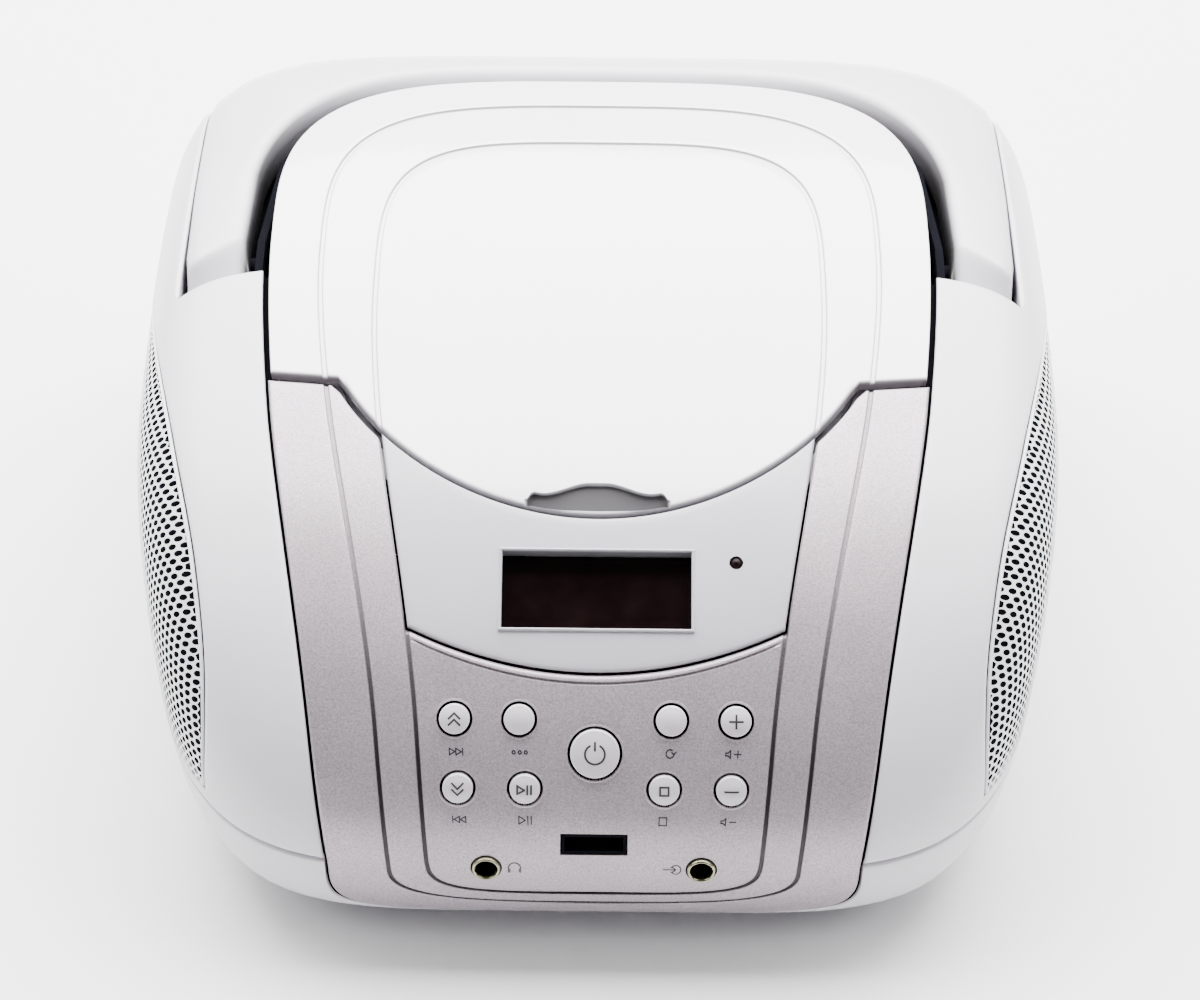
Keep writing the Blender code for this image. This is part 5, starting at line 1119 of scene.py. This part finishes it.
def build_base(finish):
    """Lower and rear casing, with the aerial's recess and the openings of the battery bay and mains inlet."""
    start = POD_REAR + SEAM
    near = EDGE_ROUND / POD_WIDTH
    outer_columns = edged(1.0, 2.0, 16, near, start=False)
    inner_columns = list(np.sin(np.linspace(-math.pi / 2, math.pi / 2, 47)))
    columns = np.array([-c for c in reversed(outer_columns[1:])] + inner_columns + outer_columns[1:])
    turn = LOOP - PROFILE_ARCS[0][0] / 4
    recess = [AERIAL_TOP + offset for offset, _ in RECESS_PROFILE]
    recess += [AERIAL_LOW - offset for offset, _ in reversed(RECESS_PROFILE)]
    corner = corner_lengths(AERIAL_LOW, TOE_START)
    rows = edged(start, recess[0], 8, end=False)[:-1] + recess + list(np.linspace(recess[-1], corner, 4)[1:])
    rows += list(np.linspace(corner, TOE_START, 10)[1:]) + list(np.linspace(TOE_START, FLOOR_START, 10)[1:])
    rows += list(np.linspace(FLOOR_START, turn, 14)[1:])
    shares = edged(0.0, 1.0, 14, EDGE_ROUND / BASE_FRONT_LENGTH, start=False)[1:]
    half = SEAM_LINE["low"] + SEAM / 2
    level = np.minimum(np.abs(columns), 1.0)
    lower = SEAM_LINE["corner"] - (SEAM_LINE["corner"] - SEAM_LINE["bottom"]) * (
        1 - level ** SEAM_LINE["corner_power"]) ** (1 / SEAM_LINE["corner_power"])
    front = LOOP + np.where(np.abs(columns) > 1, POD_FOOT, np.minimum(lower, POD_FOOT)) - SEAM
    level_rows = [np.full(len(columns), value) for value in rows]
    s = np.array(level_rows + [turn + w * (front - turn) for w in shares])
    c = np.broadcast_to(columns, s.shape)
    first = float(cross_angle(half))
    outside = first + (np.abs(c) - 1) * (grille_angle(np.mod(s, LOOP), GRILLE_GAP) - first)
    angle = np.where(np.abs(c) <= 1, cross_angle(c * half), np.sign(c) * outside)
    xi = HALF_WIDTH * np.abs(np.sin(angle)) ** (2 / FULLNESS)
    offsets, levels = zip(*RECESS_PROFILE)
    sunk = np.minimum(np.interp(s - AERIAL_TOP, offsets, levels), np.interp(AERIAL_LOW - s, offsets, levels))
    flat = skin_at(angle, s)
    edge = np.minimum(span(flat, 0), span(flat, len(columns) - 1))
    edge = np.minimum(edge, np.minimum(s - start, front - s))
    depth = rounded(np.clip(edge, 0.0, None)) + sunk * aerial_sink(xi)
    inner_depth = SHELL + sunk * aerial_sink(xi)
    lip = (s - start < EDGE_ROUND * 1.01) & (xi < HANDLE_HALF_WIDTH + SEAM)
    outer = skin_deep(angle, s, depth)
    inner = np.where(lip[..., None], skin_deep(angle, s, np.full(s.shape, CHANNEL_LIP), True),
                     skin_deep(angle, s, inner_depth))
    points, faces = thick(outer.reshape(-1, 3), inner.reshape(-1, 3), grid_faces(*s.shape))
    base = make("base_casing", points, faces, finish["satin_white"], "body", "satin_white", ("base_cabinet",))
    holes = bmesh.new()
    low = BATTERY_BAY_Y - BATTERY_BAY_SIZE[1] / 2
    high = BATTERY_BAY_Y + BATTERY_BAY_SIZE[1] / 2 + BATTERY_DOOR_TRAVEL
    add_box(holes, (BATTERY_BAY_SIZE[0], high - low, 4 * FOOT_HEIGHT),
            Matrix.Translation((0, (low + high) / 2, FOOT_HEIGHT)))
    wall = float(profile(WALL_TOP)[0][0])
    add_box(holes, (INLET_SIZE[0] + 2 * FIT, 4 * SHELL, INLET_SIZE[1] + 2 * FIT),
            Matrix.Translation((INLET_PLACE[0], wall, INLET_PLACE[1])))
    cut(base, holes)


def side_profile_reach():
    """Direction and distance of the profile's points from the middle of a side."""
    y, z = profile(np.linspace(0, LOOP, 3000)[:-1])
    direction = np.arctan2(z - CENTRE_Z, y - CENTRE_Y)
    order = np.argsort(direction)
    return direction[order], np.hypot(y - CENTRE_Y, z - CENTRE_Z)[order]


DOME_DIRECTION, DOME_REACH = side_profile_reach()


def dome_height(y, z):
    """Cross position of the side dome over places of the side view."""
    reach = np.interp(np.arctan2(z - CENTRE_Z, y - CENTRE_Y), DOME_DIRECTION, DOME_REACH, period=math.tau)
    share = np.clip(np.hypot(y - CENTRE_Y, z - CENTRE_Z) / reach, 0.0, 1.0)
    return HALF_WIDTH * (1 - share ** FULLNESS) ** (1 / FULLNESS) * taper(y, z)


def dome(y, z, depth, side):
    """Points of one side dome, or under it, over places of the side view."""
    step = 2e-4
    x = dome_height(y, z)
    slope_y = (dome_height(y + step, z) - dome_height(y - step, z)) / (2 * step)
    slope_z = (dome_height(y, z + step) - dome_height(y, z - step)) / (2 * step)
    size = np.sqrt(1 + slope_y ** 2 + slope_z ** 2)
    normal = np.stack((1 / size, -slope_y / size, -slope_z / size), -1)
    points = np.stack((x, y, z), -1) - np.broadcast_to(np.asarray(depth, float), x.shape)[..., None] * normal
    return points * np.array((side, 1, 1))


def grille_rays(count):
    """Directions from the grille's middle, with its two lower corners among them."""
    a, b = GRILLE_AXES
    corner = a * math.sqrt(1 - ((GRILLE_FOOT_Z - GRILLE_CENTRE[1]) / b) ** 2)
    down = GRILLE_FOOT_Z - GRILLE_MIDDLE_Z
    right, left = math.atan2(down, corner), math.atan2(down, -corner) + math.tau
    upper = np.linspace(right, left, 3 * count // 4)
    return np.concatenate((upper, np.linspace(left, right + math.tau, count // 4)[1:-1]))


def grille_place(ray, inset, share=1.0):
    """Places of the side view on rays from the grille's middle, at a share of the way to its outline."""
    dy, dz = np.cos(ray), np.sin(ray)
    middle = (GRILLE_CENTRE[0], GRILLE_MIDDLE_Z)
    reach = share * np.minimum(*outline_reaches(middle, dy, dz, inset))
    return GRILLE_CENTRE[0] + reach * dy, GRILLE_MIDDLE_Z + reach * dz


def build_grille(name, side, finish):
    """Perforated sheet on the side dome, its rim, and a dark sheet close behind it that stands in for the
    dark speaker and paints the shade in the holes.
    """
    rays = grille_rays(200)
    edge = 0.4 * EDGE_ROUND
    insets = [GRILLE_GAP / 2 + edge * step for step in EDGE_STEPS] + [GRILLE_RIM]
    rim = []
    for inset in insets:
        y, z = grille_place(rays, inset)
        rim.append(dome(y, z, rounded(inset - GRILLE_GAP / 2, edge), side))
    inner = [dome(*grille_place(rays, inset), SHEET_SINK + SHEET_THICKNESS, side) for inset in insets]
    faces = grid_faces(len(insets), len(rays), closed=True)
    points, faces = thick(np.array(rim).reshape(-1, 3), np.array(inner).reshape(-1, 3), faces)
    make(name + "_rim", points, faces, finish["grille_white"], "body", "grille_white", (name,))
    # Dark sheet behind the holes: painted shade
    shade_sheet = [dome(*grille_place(rays, GRILLE_RIM / 2, share), SHADE_SHEET_DEPTH, side)
             for share in np.linspace(1, 0.02, 12)]
    faces = grid_faces(len(shade_sheet), len(rays), closed=True)
    make(name + "_shade_sheet", np.array(shade_sheet).reshape(-1, 3), faces, finish["black_and_painted_shade"], "body",
         "black_plastic")
    build_perforation(name + "_sheet", name, side, finish)


def build_perforation(label, node, side, finish):
    """Sheet of six-sided cells, each with a round hole."""
    cells = []
    rise = HOLE_PITCH * math.sqrt(3) / 2
    a, b = (axis - GRILLE_RIM / 2 for axis in GRILLE_AXES)
    for row in range(int(2 * GRILLE_AXES[1] / rise)):
        z = GRILLE_FOOT_Z + GRILLE_RIM / 2 + rise * (row + 0.4)
        shift = HOLE_PITCH / 2 * (row % 2)
        for column in range(-int(a / HOLE_PITCH) - 1, int(a / HOLE_PITCH) + 2):
            y = GRILLE_CENTRE[0] + shift + column * HOLE_PITCH
            if ((y - GRILLE_CENTRE[0]) / a) ** 2 + ((z - GRILLE_CENTRE[1]) / b) ** 2 < 1:
                cells.append((y, z))
    cells = np.array(cells)
    turn = np.arange(HOLE_SIDES) * math.tau / HOLE_SIDES + math.pi / 6
    hexagon = np.where(np.arange(HOLE_SIDES) % 2 == 0, HOLE_PITCH / math.sqrt(3), HOLE_PITCH / 2)
    rings = ((hexagon, SHEET_SINK), (HOLE_RADIUS, SHEET_SINK))
    layers = []
    for radius, depth in rings:
        y = cells[:, :1] + radius * np.cos(turn)
        z = cells[:, 1:] + radius * np.sin(turn)
        ray = np.arctan2(z - GRILLE_MIDDLE_Z, y - GRILLE_CENTRE[0])
        edge_y, edge_z = grille_place(ray, GRILLE_RIM / 2)
        share = np.hypot(edge_y - GRILLE_CENTRE[0], edge_z - GRILLE_MIDDLE_Z)
        share = np.minimum(share / np.hypot(y - GRILLE_CENTRE[0], z - GRILLE_MIDDLE_Z), 1.0)
        y = GRILLE_CENTRE[0] + share * (y - GRILLE_CENTRE[0])
        z = GRILLE_MIDDLE_Z + share * (z - GRILLE_MIDDLE_Z)
        layers.append(dome(y, z, depth, side))
    points = np.stack(layers, 1).reshape(-1, 3)
    faces = []
    for cell in range(len(cells)):
        first = cell * len(rings) * HOLE_SIDES
        faces += [tuple(first + n for n in face) for face in grid_faces(len(rings), HOLE_SIDES, closed=True)]
    make(label, points, faces, finish["grille_white"], "body", "grille_white", (node,))


# Handle

def u_edge(row, half, reach, power):
    """Place (xi, s) of one edge of the handle's U at a row: (side, length) on an arm, or a fan angle."""
    if isinstance(row, tuple):
        return row[0] * half, row[1]
    c, n = math.cos(row), math.sin(row)
    radius = ((abs(c) / half) ** power + (n / reach) ** power) ** (-1 / power)
    return radius * c, SEAM_EGG.widest + radius * n


def fan_turn(angle):
    """Fan angle moved half way towards the one that crowds the rows into the corners of the U."""
    power = 2 / HANDLE_CORNER_POWER
    c, n = math.cos(angle), math.sin(angle)
    crowded = math.atan2(n ** power, math.copysign(abs(c) ** power, c))
    return (angle + crowded) / 2


def handle_loop():
    """Outline of the handle's section: (share across, sideways offset, share of depth, depth offset)."""
    found = [(w, 0.0, 0.0, 0.0) for w in np.linspace(0.36, 0.80, 5)]
    for w, d in ((1, 0), (1, 1), (0, 1), (0, 0)):
        radius = HANDLE_ROUND if w or d else HANDLE_INNER_ROUND
        arc = []
        for turn in np.linspace(0, math.pi / 2, 8):
            side, down = radius * (1 - math.sin(turn)), radius * (1 - math.cos(turn))
            arc.append((w, -side if w else side, d, -down if d else down))
        found += arc if w != d else arc[::-1]
        if (w, d) == (1, 1):
            found += [(w, 0.0, 1.0, 0.0) for w in np.linspace(0.80, 0.20, 5)]
    return found


def build_handle(finish):
    """Carrying handle: a U with rounded edges and round noses at the pivots, its inner face darkened with
    painted shade.
    """
    radius = HANDLE_THICKNESS / 2
    start = HANDLE_START
    noses = [HANDLE_NOSE_LENGTH * (1 - math.cos(turn)) for turn in np.linspace(0, math.pi / 2, 14)]
    widest = SEAM_EGG.widest
    arm = [start + n for n in noses] + list(np.linspace(start + HANDLE_NOSE_LENGTH, widest, 8)[1:])
    rows = [(-1, s) for s in arm]
    rows += [fan_turn(math.pi * (1 - t)) for t in np.linspace(0, 1, 90)[1:-1]]
    rows += [(1, s) for s in reversed(arm)]
    inner = (SEAM_EGG.high + HANDLE_LID_GAP, SEAM_EGG.rear - widest + HANDLE_LID_GAP, SEAM_EGG.rear_power)
    outer = (HANDLE_HALF_WIDTH, HANDLE_REAR - widest, HANDLE_CORNER_POWER)
    loop = handle_loop()
    xi, s, depth, shade = [], [], [], []
    for row in rows:
        one, two = np.array(u_edge(row, *inner)), np.array(u_edge(row, *outer))
        along = row[1] - start if isinstance(row, tuple) else HANDLE_ROOT_LENGTH
        two[0] -= math.copysign(HANDLE_ROOT_RELIEF, two[0]) * (1 - ease(along / HANDLE_ROOT_LENGTH))
        # Painted shade on the inner face: full on the arms, fading out round the rear corners, darker deeper
        # down
        dark = 1.0 if isinstance(row, tuple) else float(ease(2 * abs(math.cos(row)) - 1))
        unit = (two - one) / np.linalg.norm(two - one)
        for w, sideways, d, down in loop:
            place = one + w * (two - one) + sideways * unit
            level = d * HANDLE_THICKNESS + down
            across = w + sideways / np.linalg.norm(two - one)
            nose = HANDLE_NOSE_LENGTH * np.interp(across, (0.0, 1.0), HANDLE_NOSE_SLANT)
            fall = max(1 - along / nose, 0.0)
            xi.append(place[0])
            s.append(place[1])
            depth.append(radius + (level - radius) * (1 - fall ** HANDLE_NOSE_POWER))
            shade.append(dark * float(ease(level / HANDLE_SHADE_DEPTH)) if w == 0 else 0.0)
    points = skin(np.array(xi), np.array(s), np.array(depth), True)
    faces = grid_faces(len(rows), len(loop), closed=True)
    make("carry_handle", points, faces, finish["satin_white"], "handle", "satin_white", ("handle",), shade)


# Disc well and pivots

def top_height(x, y, depth):
    """Height of the top of the body, or of a level under its skin, over a place seen from above."""
    along = np.linspace(DISC - LID_FRONT_CIRCLE, SEAM_LINE["rear"], 120)
    level = skin(x, along, depth)
    return float(np.interp(y, level[:, 1], level[:, 2]))


def build_well_wall(finish):
    """Smooth wall inside the disc's well, up to the deck."""
    low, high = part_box("cd_well")
    radius = (high[0] - low[0]) / 2 - WELL_WALL - FIT / 3
    middle = (low[1] + high[1]) / 2
    turns = np.linspace(0, math.tau, 129)[:-1]
    x, y = radius * np.cos(turns), middle + radius * np.sin(turns)
    tops = [top_height(*place, DECK_DEPTH + FIT) for place in zip(x, y)]
    floor = np.full(len(x), low[2] + SHELL)
    rings = [np.stack((x, y, floor), -1), np.stack((x, y, np.array(tops)), -1)]
    points = np.array(rings)
    shell = points + np.stack((np.cos(turns), np.sin(turns), 0 * turns), -1) * FIT / 4
    points, faces = thick(points.reshape(-1, 3), shell.reshape(-1, 3), grid_faces(2, len(x), closed=True))
    make("well_wall", points, faces, finish["grey_plastic"], "body", "grey_plastic")


def pin(radius, place, reach):
    """Points and faces of a pin along X from a place, with a bevelled tip; the reach's sign is its side."""
    outline = ((radius, 0.0), (radius, abs(reach) - PIN_CHAMFER), (radius - PIN_CHAMFER, abs(reach)),
               (0.0, abs(reach)))
    turn = Matrix.Rotation(math.copysign(math.pi / 2, reach), 4, "Y")
    return lathe_points(outline, Matrix.Translation(place) @ turn, PIN_SIDES)


def build_pivots(frame, finish):
    """Lugs and pins of the lid's hinge, and pins of the handle's pivot, on the axes of their joints."""
    axes = {joint["name"]: joint.get("pos_m") for joint in frame["record"]["behaviour"]["joints"]}
    _, y, z = axes["lid_hinge"]
    half = HINGE_NECK_LENGTH / 2
    rise = top_height(0.0, y, LID_THICKNESS / 2) - z
    first = math.acos(half / HINGE_LUG_RADIUS)
    section = [(HINGE_LUG_RADIUS * math.cos(t), HINGE_LUG_RADIUS * math.sin(t))
               for t in np.linspace(first, -math.pi - first, 24)] + [(-half, rise), (half, rise)]
    count = len(section)
    rings = grid_faces(2, count, closed=True) + [tuple(range(count)), tuple(range(count, 2 * count))]
    shapes = []
    for side in (-1, 1):
        lug = [Vector((side * x, y + dy, z + dz)) for x in HINGE_LUG_SIDES for dy, dz in section]
        tip = pin(HINGE_PIN_RADIUS, (side * HINGE_LUG_SIDES[1], y, z), side * HINGE_PIN_LENGTH)
        shapes += [(lug, rings), tip]
    points, faces = gather(shapes)
    make("lid_hinge_lugs", points, faces, finish["gloss_white"], "lid", "gloss_white", ("lid",))
    _, y, z = axes["handle_pivot"]
    root = SEAM_EGG.high + HANDLE_LID_GAP + HANDLE_PIN_ROOT
    reach = SEAM_EGG.high + SEAM - root
    points, faces = gather(pin(HANDLE_PIN_RADIUS, (side * root, y, z), side * reach) for side in (-1, 1))
    make("handle_pins", points, faces, finish["black_and_painted_shade"], "handle", "black_plastic", ("handle",))


# Buttons and sockets

def dome_top(radius, distance):
    """Height of a button's crown at a distance from its middle."""
    ball = (radius * radius + BUTTON_CROWN * BUTTON_CROWN) / (2 * BUTTON_CROWN)
    return BUTTON_PROUD + math.sqrt(ball * ball - distance * distance) - ball + BUTTON_CROWN


def build_buttons(finish):
    """Domed buttons with rounded rims."""
    for name, (across, along, radius) in BUTTONS.items():
        edge = BUTTON_EDGE
        outline = [(r, dome_top(radius, r)) for r in np.linspace(0, radius - edge, 8)]
        low = outline[-1][1] - edge
        outline += [(radius - edge + edge * math.sin(t), low + edge * math.cos(t))
                    for t in np.linspace(0, math.pi / 2, 6)[1:]]
        outline += [(radius, -SHELL), (0, -SHELL)]
        points, faces = lathe_points(outline, skin_frame(across, along), ROUND_SIDES)
        make(name + "_cap", points, faces, finish["button_silver"], name, "button_silver", (name,))
    collars, shade_wells = [], []
    for across, along, radius in BUTTONS.values():
        at, hole = skin_frame(across, along), radius + BUTTON_CLEARANCE
        ring = [(hole + COLLAR_WIDTH * w, COLLAR_HEIGHT * h - FIT / 6) for w, h in COLLAR_PROFILE]
        collars.append(lathe_points(ring, at, ROUND_SIDES))
        # Black wells under the button holes: painted shade in the gaps round the buttons
        well = [(hole, -FIT / 2), (hole, -WELL_DEPTH), (0.0, -WELL_DEPTH)]
        shade_wells.append(lathe_points(well, at, ROUND_SIDES))
    make("button_collars", *gather(collars), finish["silver_paint"], "body", "silver_paint")
    make("button_shade_wells", *gather(shade_wells), finish["black_and_painted_shade"], "body", "black_plastic")


def build_sockets(finish):
    """Round jacks with a rolled lip and a dark bore."""
    for name, (across, along) in JACK_PLACES.items():
        at = skin_frame(across, along)
        lip = [(JACK_RADIUS, -SHELL), (JACK_RADIUS, 0.0)]
        middle = (JACK_RADIUS + JACK_BORE_RADIUS) / 2
        half = (JACK_RADIUS - JACK_BORE_RADIUS) / 2
        lip += [(middle + half * math.cos(t), JACK_LIP * math.sin(t))
                for t in np.linspace(0, math.pi, 14)[1:]]
        lip += [(JACK_BORE_RADIUS, -SHELL)]
        points, faces = lathe_points(lip, at, ROUND_SIDES)
        make(name + "_lip", points, faces, finish["brass"], "body", "brass", (name,))
        well = [(JACK_BORE_RADIUS + FIT / 3, -FIT), (JACK_BORE_RADIUS, -FIT), (JACK_BORE_RADIUS, -JACK_DEPTH),
                (0, -JACK_DEPTH)]
        points, faces = lathe_points(well, at, 48)
        make(name + "_bore", points, faces, finish["black_and_painted_shade"], "body", "black_plastic")


# Signs

def arc_points(radius, first, last, count, middle=(0.0, 0.0)):
    """Points of an arc, in degrees, for a drawn sign."""
    turns = [math.radians(a) for a in np.linspace(first, last, count)]
    return [(middle[0] + radius * math.cos(a), middle[1] + radius * math.sin(a)) for a in turns]


def sign_strokes():
    """Strokes of the general signs, in millimetres."""
    chevrons = [[(-1.15, 0.1), (0, 1.25), (1.15, 0.1)], [(-1.15, -1.25), (0, -0.1), (1.15, -1.25)]]
    play = [[(-1.6, 0.9), (-1.6, -0.9), (-0.1, 0), (-1.6, 0.9)]]
    play += [[(x, 0.9), (x, -0.9)] for x in (0.55, 1.35)]
    skip = [[(-1.5, 0.7), (-1.5, -0.7), (-0.2, 0), (-1.5, 0.7)], [(0, 0.7), (0, -0.7), (1.3, 0), (0, 0.7)],
            [(1.6, 0.7), (1.6, -0.7)]]
    horn = [[(-1.9, 0.3), (-1.4, 0.3), (-0.8, 0.8), (-0.8, -0.8), (-1.4, -0.3), (-1.9, -0.3), (-1.9, 0.3)]]
    return {
        "up": chevrons,
        "down": [[(x, -y) for x, y in line] for line in chevrons],
        "play": play,
        "stop": [[(-0.9, 0.9), (0.9, 0.9), (0.9, -0.9), (-0.9, -0.9), (-0.9, 0.9)]],
        "plus": [[(-1.35, 0), (1.35, 0)], [(0, -1.35), (0, 1.35)]],
        "minus": [[(-1.35, 0), (1.35, 0)]],
        "power": [arc_points(2.1, 122, 418, 30), [(0, 0.9), (0, 2.5)]],
        "forward": skip,
        "backward": [[(-x, y) for x, y in line] for line in skip],
        "source": [arc_points(0.35, 0, 360, 9, (x, 0.0)) for x in (-1.4, 0.0, 1.4)],
        "repeat": [arc_points(0.9, 60, 360, 18), [(0.4, 0.25), (0.9, -0.2), (1.35, 0.35)]],
        "louder": horn + [[(0.2, 0), (1.6, 0)], [(0.9, -0.7), (0.9, 0.7)]],
        "softer": horn + [[(0.2, 0), (1.6, 0)]],
        "phones": [arc_points(1.5, 0, 180, 16), [(-1.5, -1.2), (-1.5, 0)], [(1.5, -1.2), (1.5, 0)],
                   [(-1.15, -1.1), (-1.15, -0.2)], [(1.15, -1.1), (1.15, -0.2)]],
        "line_in": [arc_points(1.25, 150, -150, 18, (0.7, 0.0)), [(-2.4, 0), (0.7, 0)],
                    [(-0.1, 0.7), (0.7, 0), (-0.1, -0.7)]],
    }


def draw(strokes, width, place):
    """Points and faces of flat strokes, in short steps so that they follow the surface below."""
    points, faces = [], []
    for line in strokes:
        for (x0, y0), (x1, y1) in zip(line, line[1:]):
            length = math.hypot(x1 - x0, y1 - y0)
            along = ((x1 - x0) / length, (y1 - y0) / length)
            count = max(2, math.ceil(length / 0.35) + 1)
            for n, run in enumerate(np.linspace(-width / 2, length + width / 2, count)):
                for side in (-width / 2, width / 2):
                    x = x0 + run * along[0] - side * along[1]
                    y = y0 + run * along[1] + side * along[0]
                    points.append(place(0.001 * x, 0.001 * y))
                if n:
                    last = len(points) - 1
                    faces.append((last - 3, last - 1, last, last - 2))
    return points, faces


def build_signs(finish):
    """Signs on the buttons and small printed signs beside them on the front panel."""
    strokes = sign_strokes()
    for name, sign in BUTTON_SIGNS.items():
        across, along, radius = BUTTONS[name]
        at = skin_frame(across, along)
        points, faces = draw(strokes[sign], SIGN_STROKE[0],
                             lambda x, y: at @ Vector((x, y, dome_top(radius, math.hypot(x, y)) + SIGN_LIFT)))
        make(name + "_sign", points, faces, finish["sign_grey"], name, "grey_plastic")
    printed = [draw(strokes[sign], SIGN_STROKE[1], lambda x, y: skin(across + x, along + y, -SIGN_LIFT))
               for sign, across, along in PANEL_SIGNS]
    make("panel_signs", *gather(printed), finish["sign_dark"], "body", "black_plastic")


def build_bezel(finish):
    """Frame of the display window, from the insert's face down to the window, with painted shade on its inner
    wall.
    """
    at = skin_frame(0.0, WINDOW_ALONG)
    points, faces = [], []
    levels = ((0.0, BEZEL_LIFT - BEZEL_BEVEL), (BEZEL_BEVEL, BEZEL_LIFT),
              (BEZEL_WALL - BEZEL_BEVEL, BEZEL_LIFT),
              (BEZEL_WALL, BEZEL_LIFT - BEZEL_BEVEL), (BEZEL_WALL, -4 * BEZEL_BEVEL),
              (BEZEL_WALL, -WINDOW_RECESS), (0.0, -WINDOW_RECESS))
    outer = [size / 2 + BEZEL_WALL - BEZEL_INSET for size in WINDOW_SIZE]
    for inset, height in levels:
        x, y = outer[0] - inset, outer[1] - inset
        points += [at @ Vector((i * x, j * y, height)) for i, j in CORNERS]
    count = len(levels)
    for n in range(count):
        for i in range(4):
            k, m = (i + 1) % 4, (n + 1) % count
            faces.append((n * 4 + i, n * 4 + k, m * 4 + k, m * 4 + i))
    # Painted shade on the inner wall below the bevel
    shade = [BEZEL_SHADE if height < -BEZEL_BEVEL else 0.0 for _, height in levels for _ in range(4)]
    make("window_bezel", points, faces, finish["insert_white"], "body", "gloss_white", (), shade)


# Stage

def build_camera():
    """Camera at the photograph's viewing angle."""
    lift, roll = math.radians(CAMERA_ELEVATION), math.radians(CAMERA_ROLL)
    forward = Vector((0, math.cos(lift), -math.sin(lift)))
    right = Vector((1, 0, 0))
    up = right.cross(forward)
    x_axis = math.cos(roll) * right + math.sin(roll) * up
    y_axis = math.cos(roll) * up - math.sin(roll) * right
    data = bpy.data.cameras.new("camera")
    data.sensor_fit = "HORIZONTAL"
    data.sensor_width = SENSOR_WIDTH
    data.lens = SENSOR_WIDTH * FOCAL_PIXELS / PICTURE_WIDTH
    data.shift_x = (PICTURE_WIDTH / 2 - AXIS_PIXEL[0]) / PICTURE_WIDTH
    data.shift_y = (AXIS_PIXEL[1] - PICTURE_HEIGHT / 2) / PICTURE_WIDTH
    camera = bpy.data.objects.new("camera", data)
    turn = Matrix((x_axis, y_axis, -forward)).transposed()
    place = Vector(CAMERA_TARGET) - CAMERA_DISTANCE * forward
    camera.matrix_world = Matrix.Translation(place) @ turn.to_4x4()
    bpy.context.scene.collection.objects.link(camera)
    bpy.context.scene.camera = camera


def build_floor():
    """Plain pale floor."""
    mesh = bpy.data.meshes.new("floor")
    corners = [(i * FLOOR_HALF_SIZE, j * FLOOR_HALF_SIZE, 0) for i, j in CORNERS]
    mesh.from_pydata(corners, [], [(0, 1, 2, 3)])
    white = Finish("floor_white", (0.88, 0.88, 0.88), 0.75)
    mesh.materials.append(white.wear(3, 40, 0.004, 0.0, 0.03, 0.02, 1e-5).done())
    floor = bpy.data.objects.new("floor", mesh)
    bpy.context.scene.collection.objects.link(floor)


def add_light(name, place, size, power):
    """Soft area light that points at the player."""
    data = bpy.data.lights.new(name, "AREA")
    data.shape = "RECTANGLE"
    data.size, data.size_y = size
    data.energy = power
    lamp = bpy.data.objects.new(name, data)
    lamp.location = place
    lamp.rotation_euler = (Vector(LIGHT_TARGET) - Vector(place)).to_track_quat("-Z", "Y").to_euler()
    bpy.context.scene.collection.objects.link(lamp)


def build_light():
    """Large soft lights over and beside the player, and a white surround."""
    for name, (place, size, power) in LIGHTS.items():
        add_light(name, place, size, power)
    world = bpy.data.worlds.new("surround")
    world.use_nodes = True
    shader = world.node_tree.nodes["Background"]
    shader.inputs["Color"].default_value = (1.0, 1.0, 1.0, 1.0)
    shader.inputs["Strength"].default_value = SURROUND_STRENGTH
    bpy.context.scene.world = world


def dress_nodes(frame, finish):
    """Procedural material on every CAD node."""
    slots = {part["node"]: part["material_slot"] for part in frame["record"]["subparts"]}
    for name, item in frame["nodes"].items():
        item.data.materials.clear()
        # Painted shade: the shaded nodes take the dead black instead of their slot's material
        item.data.materials.append(finish["black_and_painted_shade" if name in PAINTED_SHADE_NODES else slots[name]])


def main():
    """Load the frame, build every piece and hand the scene over."""
    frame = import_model()
    build_camera()
    build_floor()
    build_light()
    finish = make_finishes()
    dress_nodes(frame, finish)
    build_lid(finish)
    build_seam_shade_strips(finish)
    build_front_panel(finish)
    build_display_panel(finish)
    build_base(finish)
    for label, side in (("left", -1), ("right", 1)):
        build_pod(label + "_pod", side, finish)
        build_grille(label + "_grille", side, finish)
    build_handle(finish)
    build_well_wall(finish)
    build_pivots(frame, finish)
    build_buttons(finish)
    build_sockets(finish)
    build_signs(finish)
    build_bezel(finish)


main()
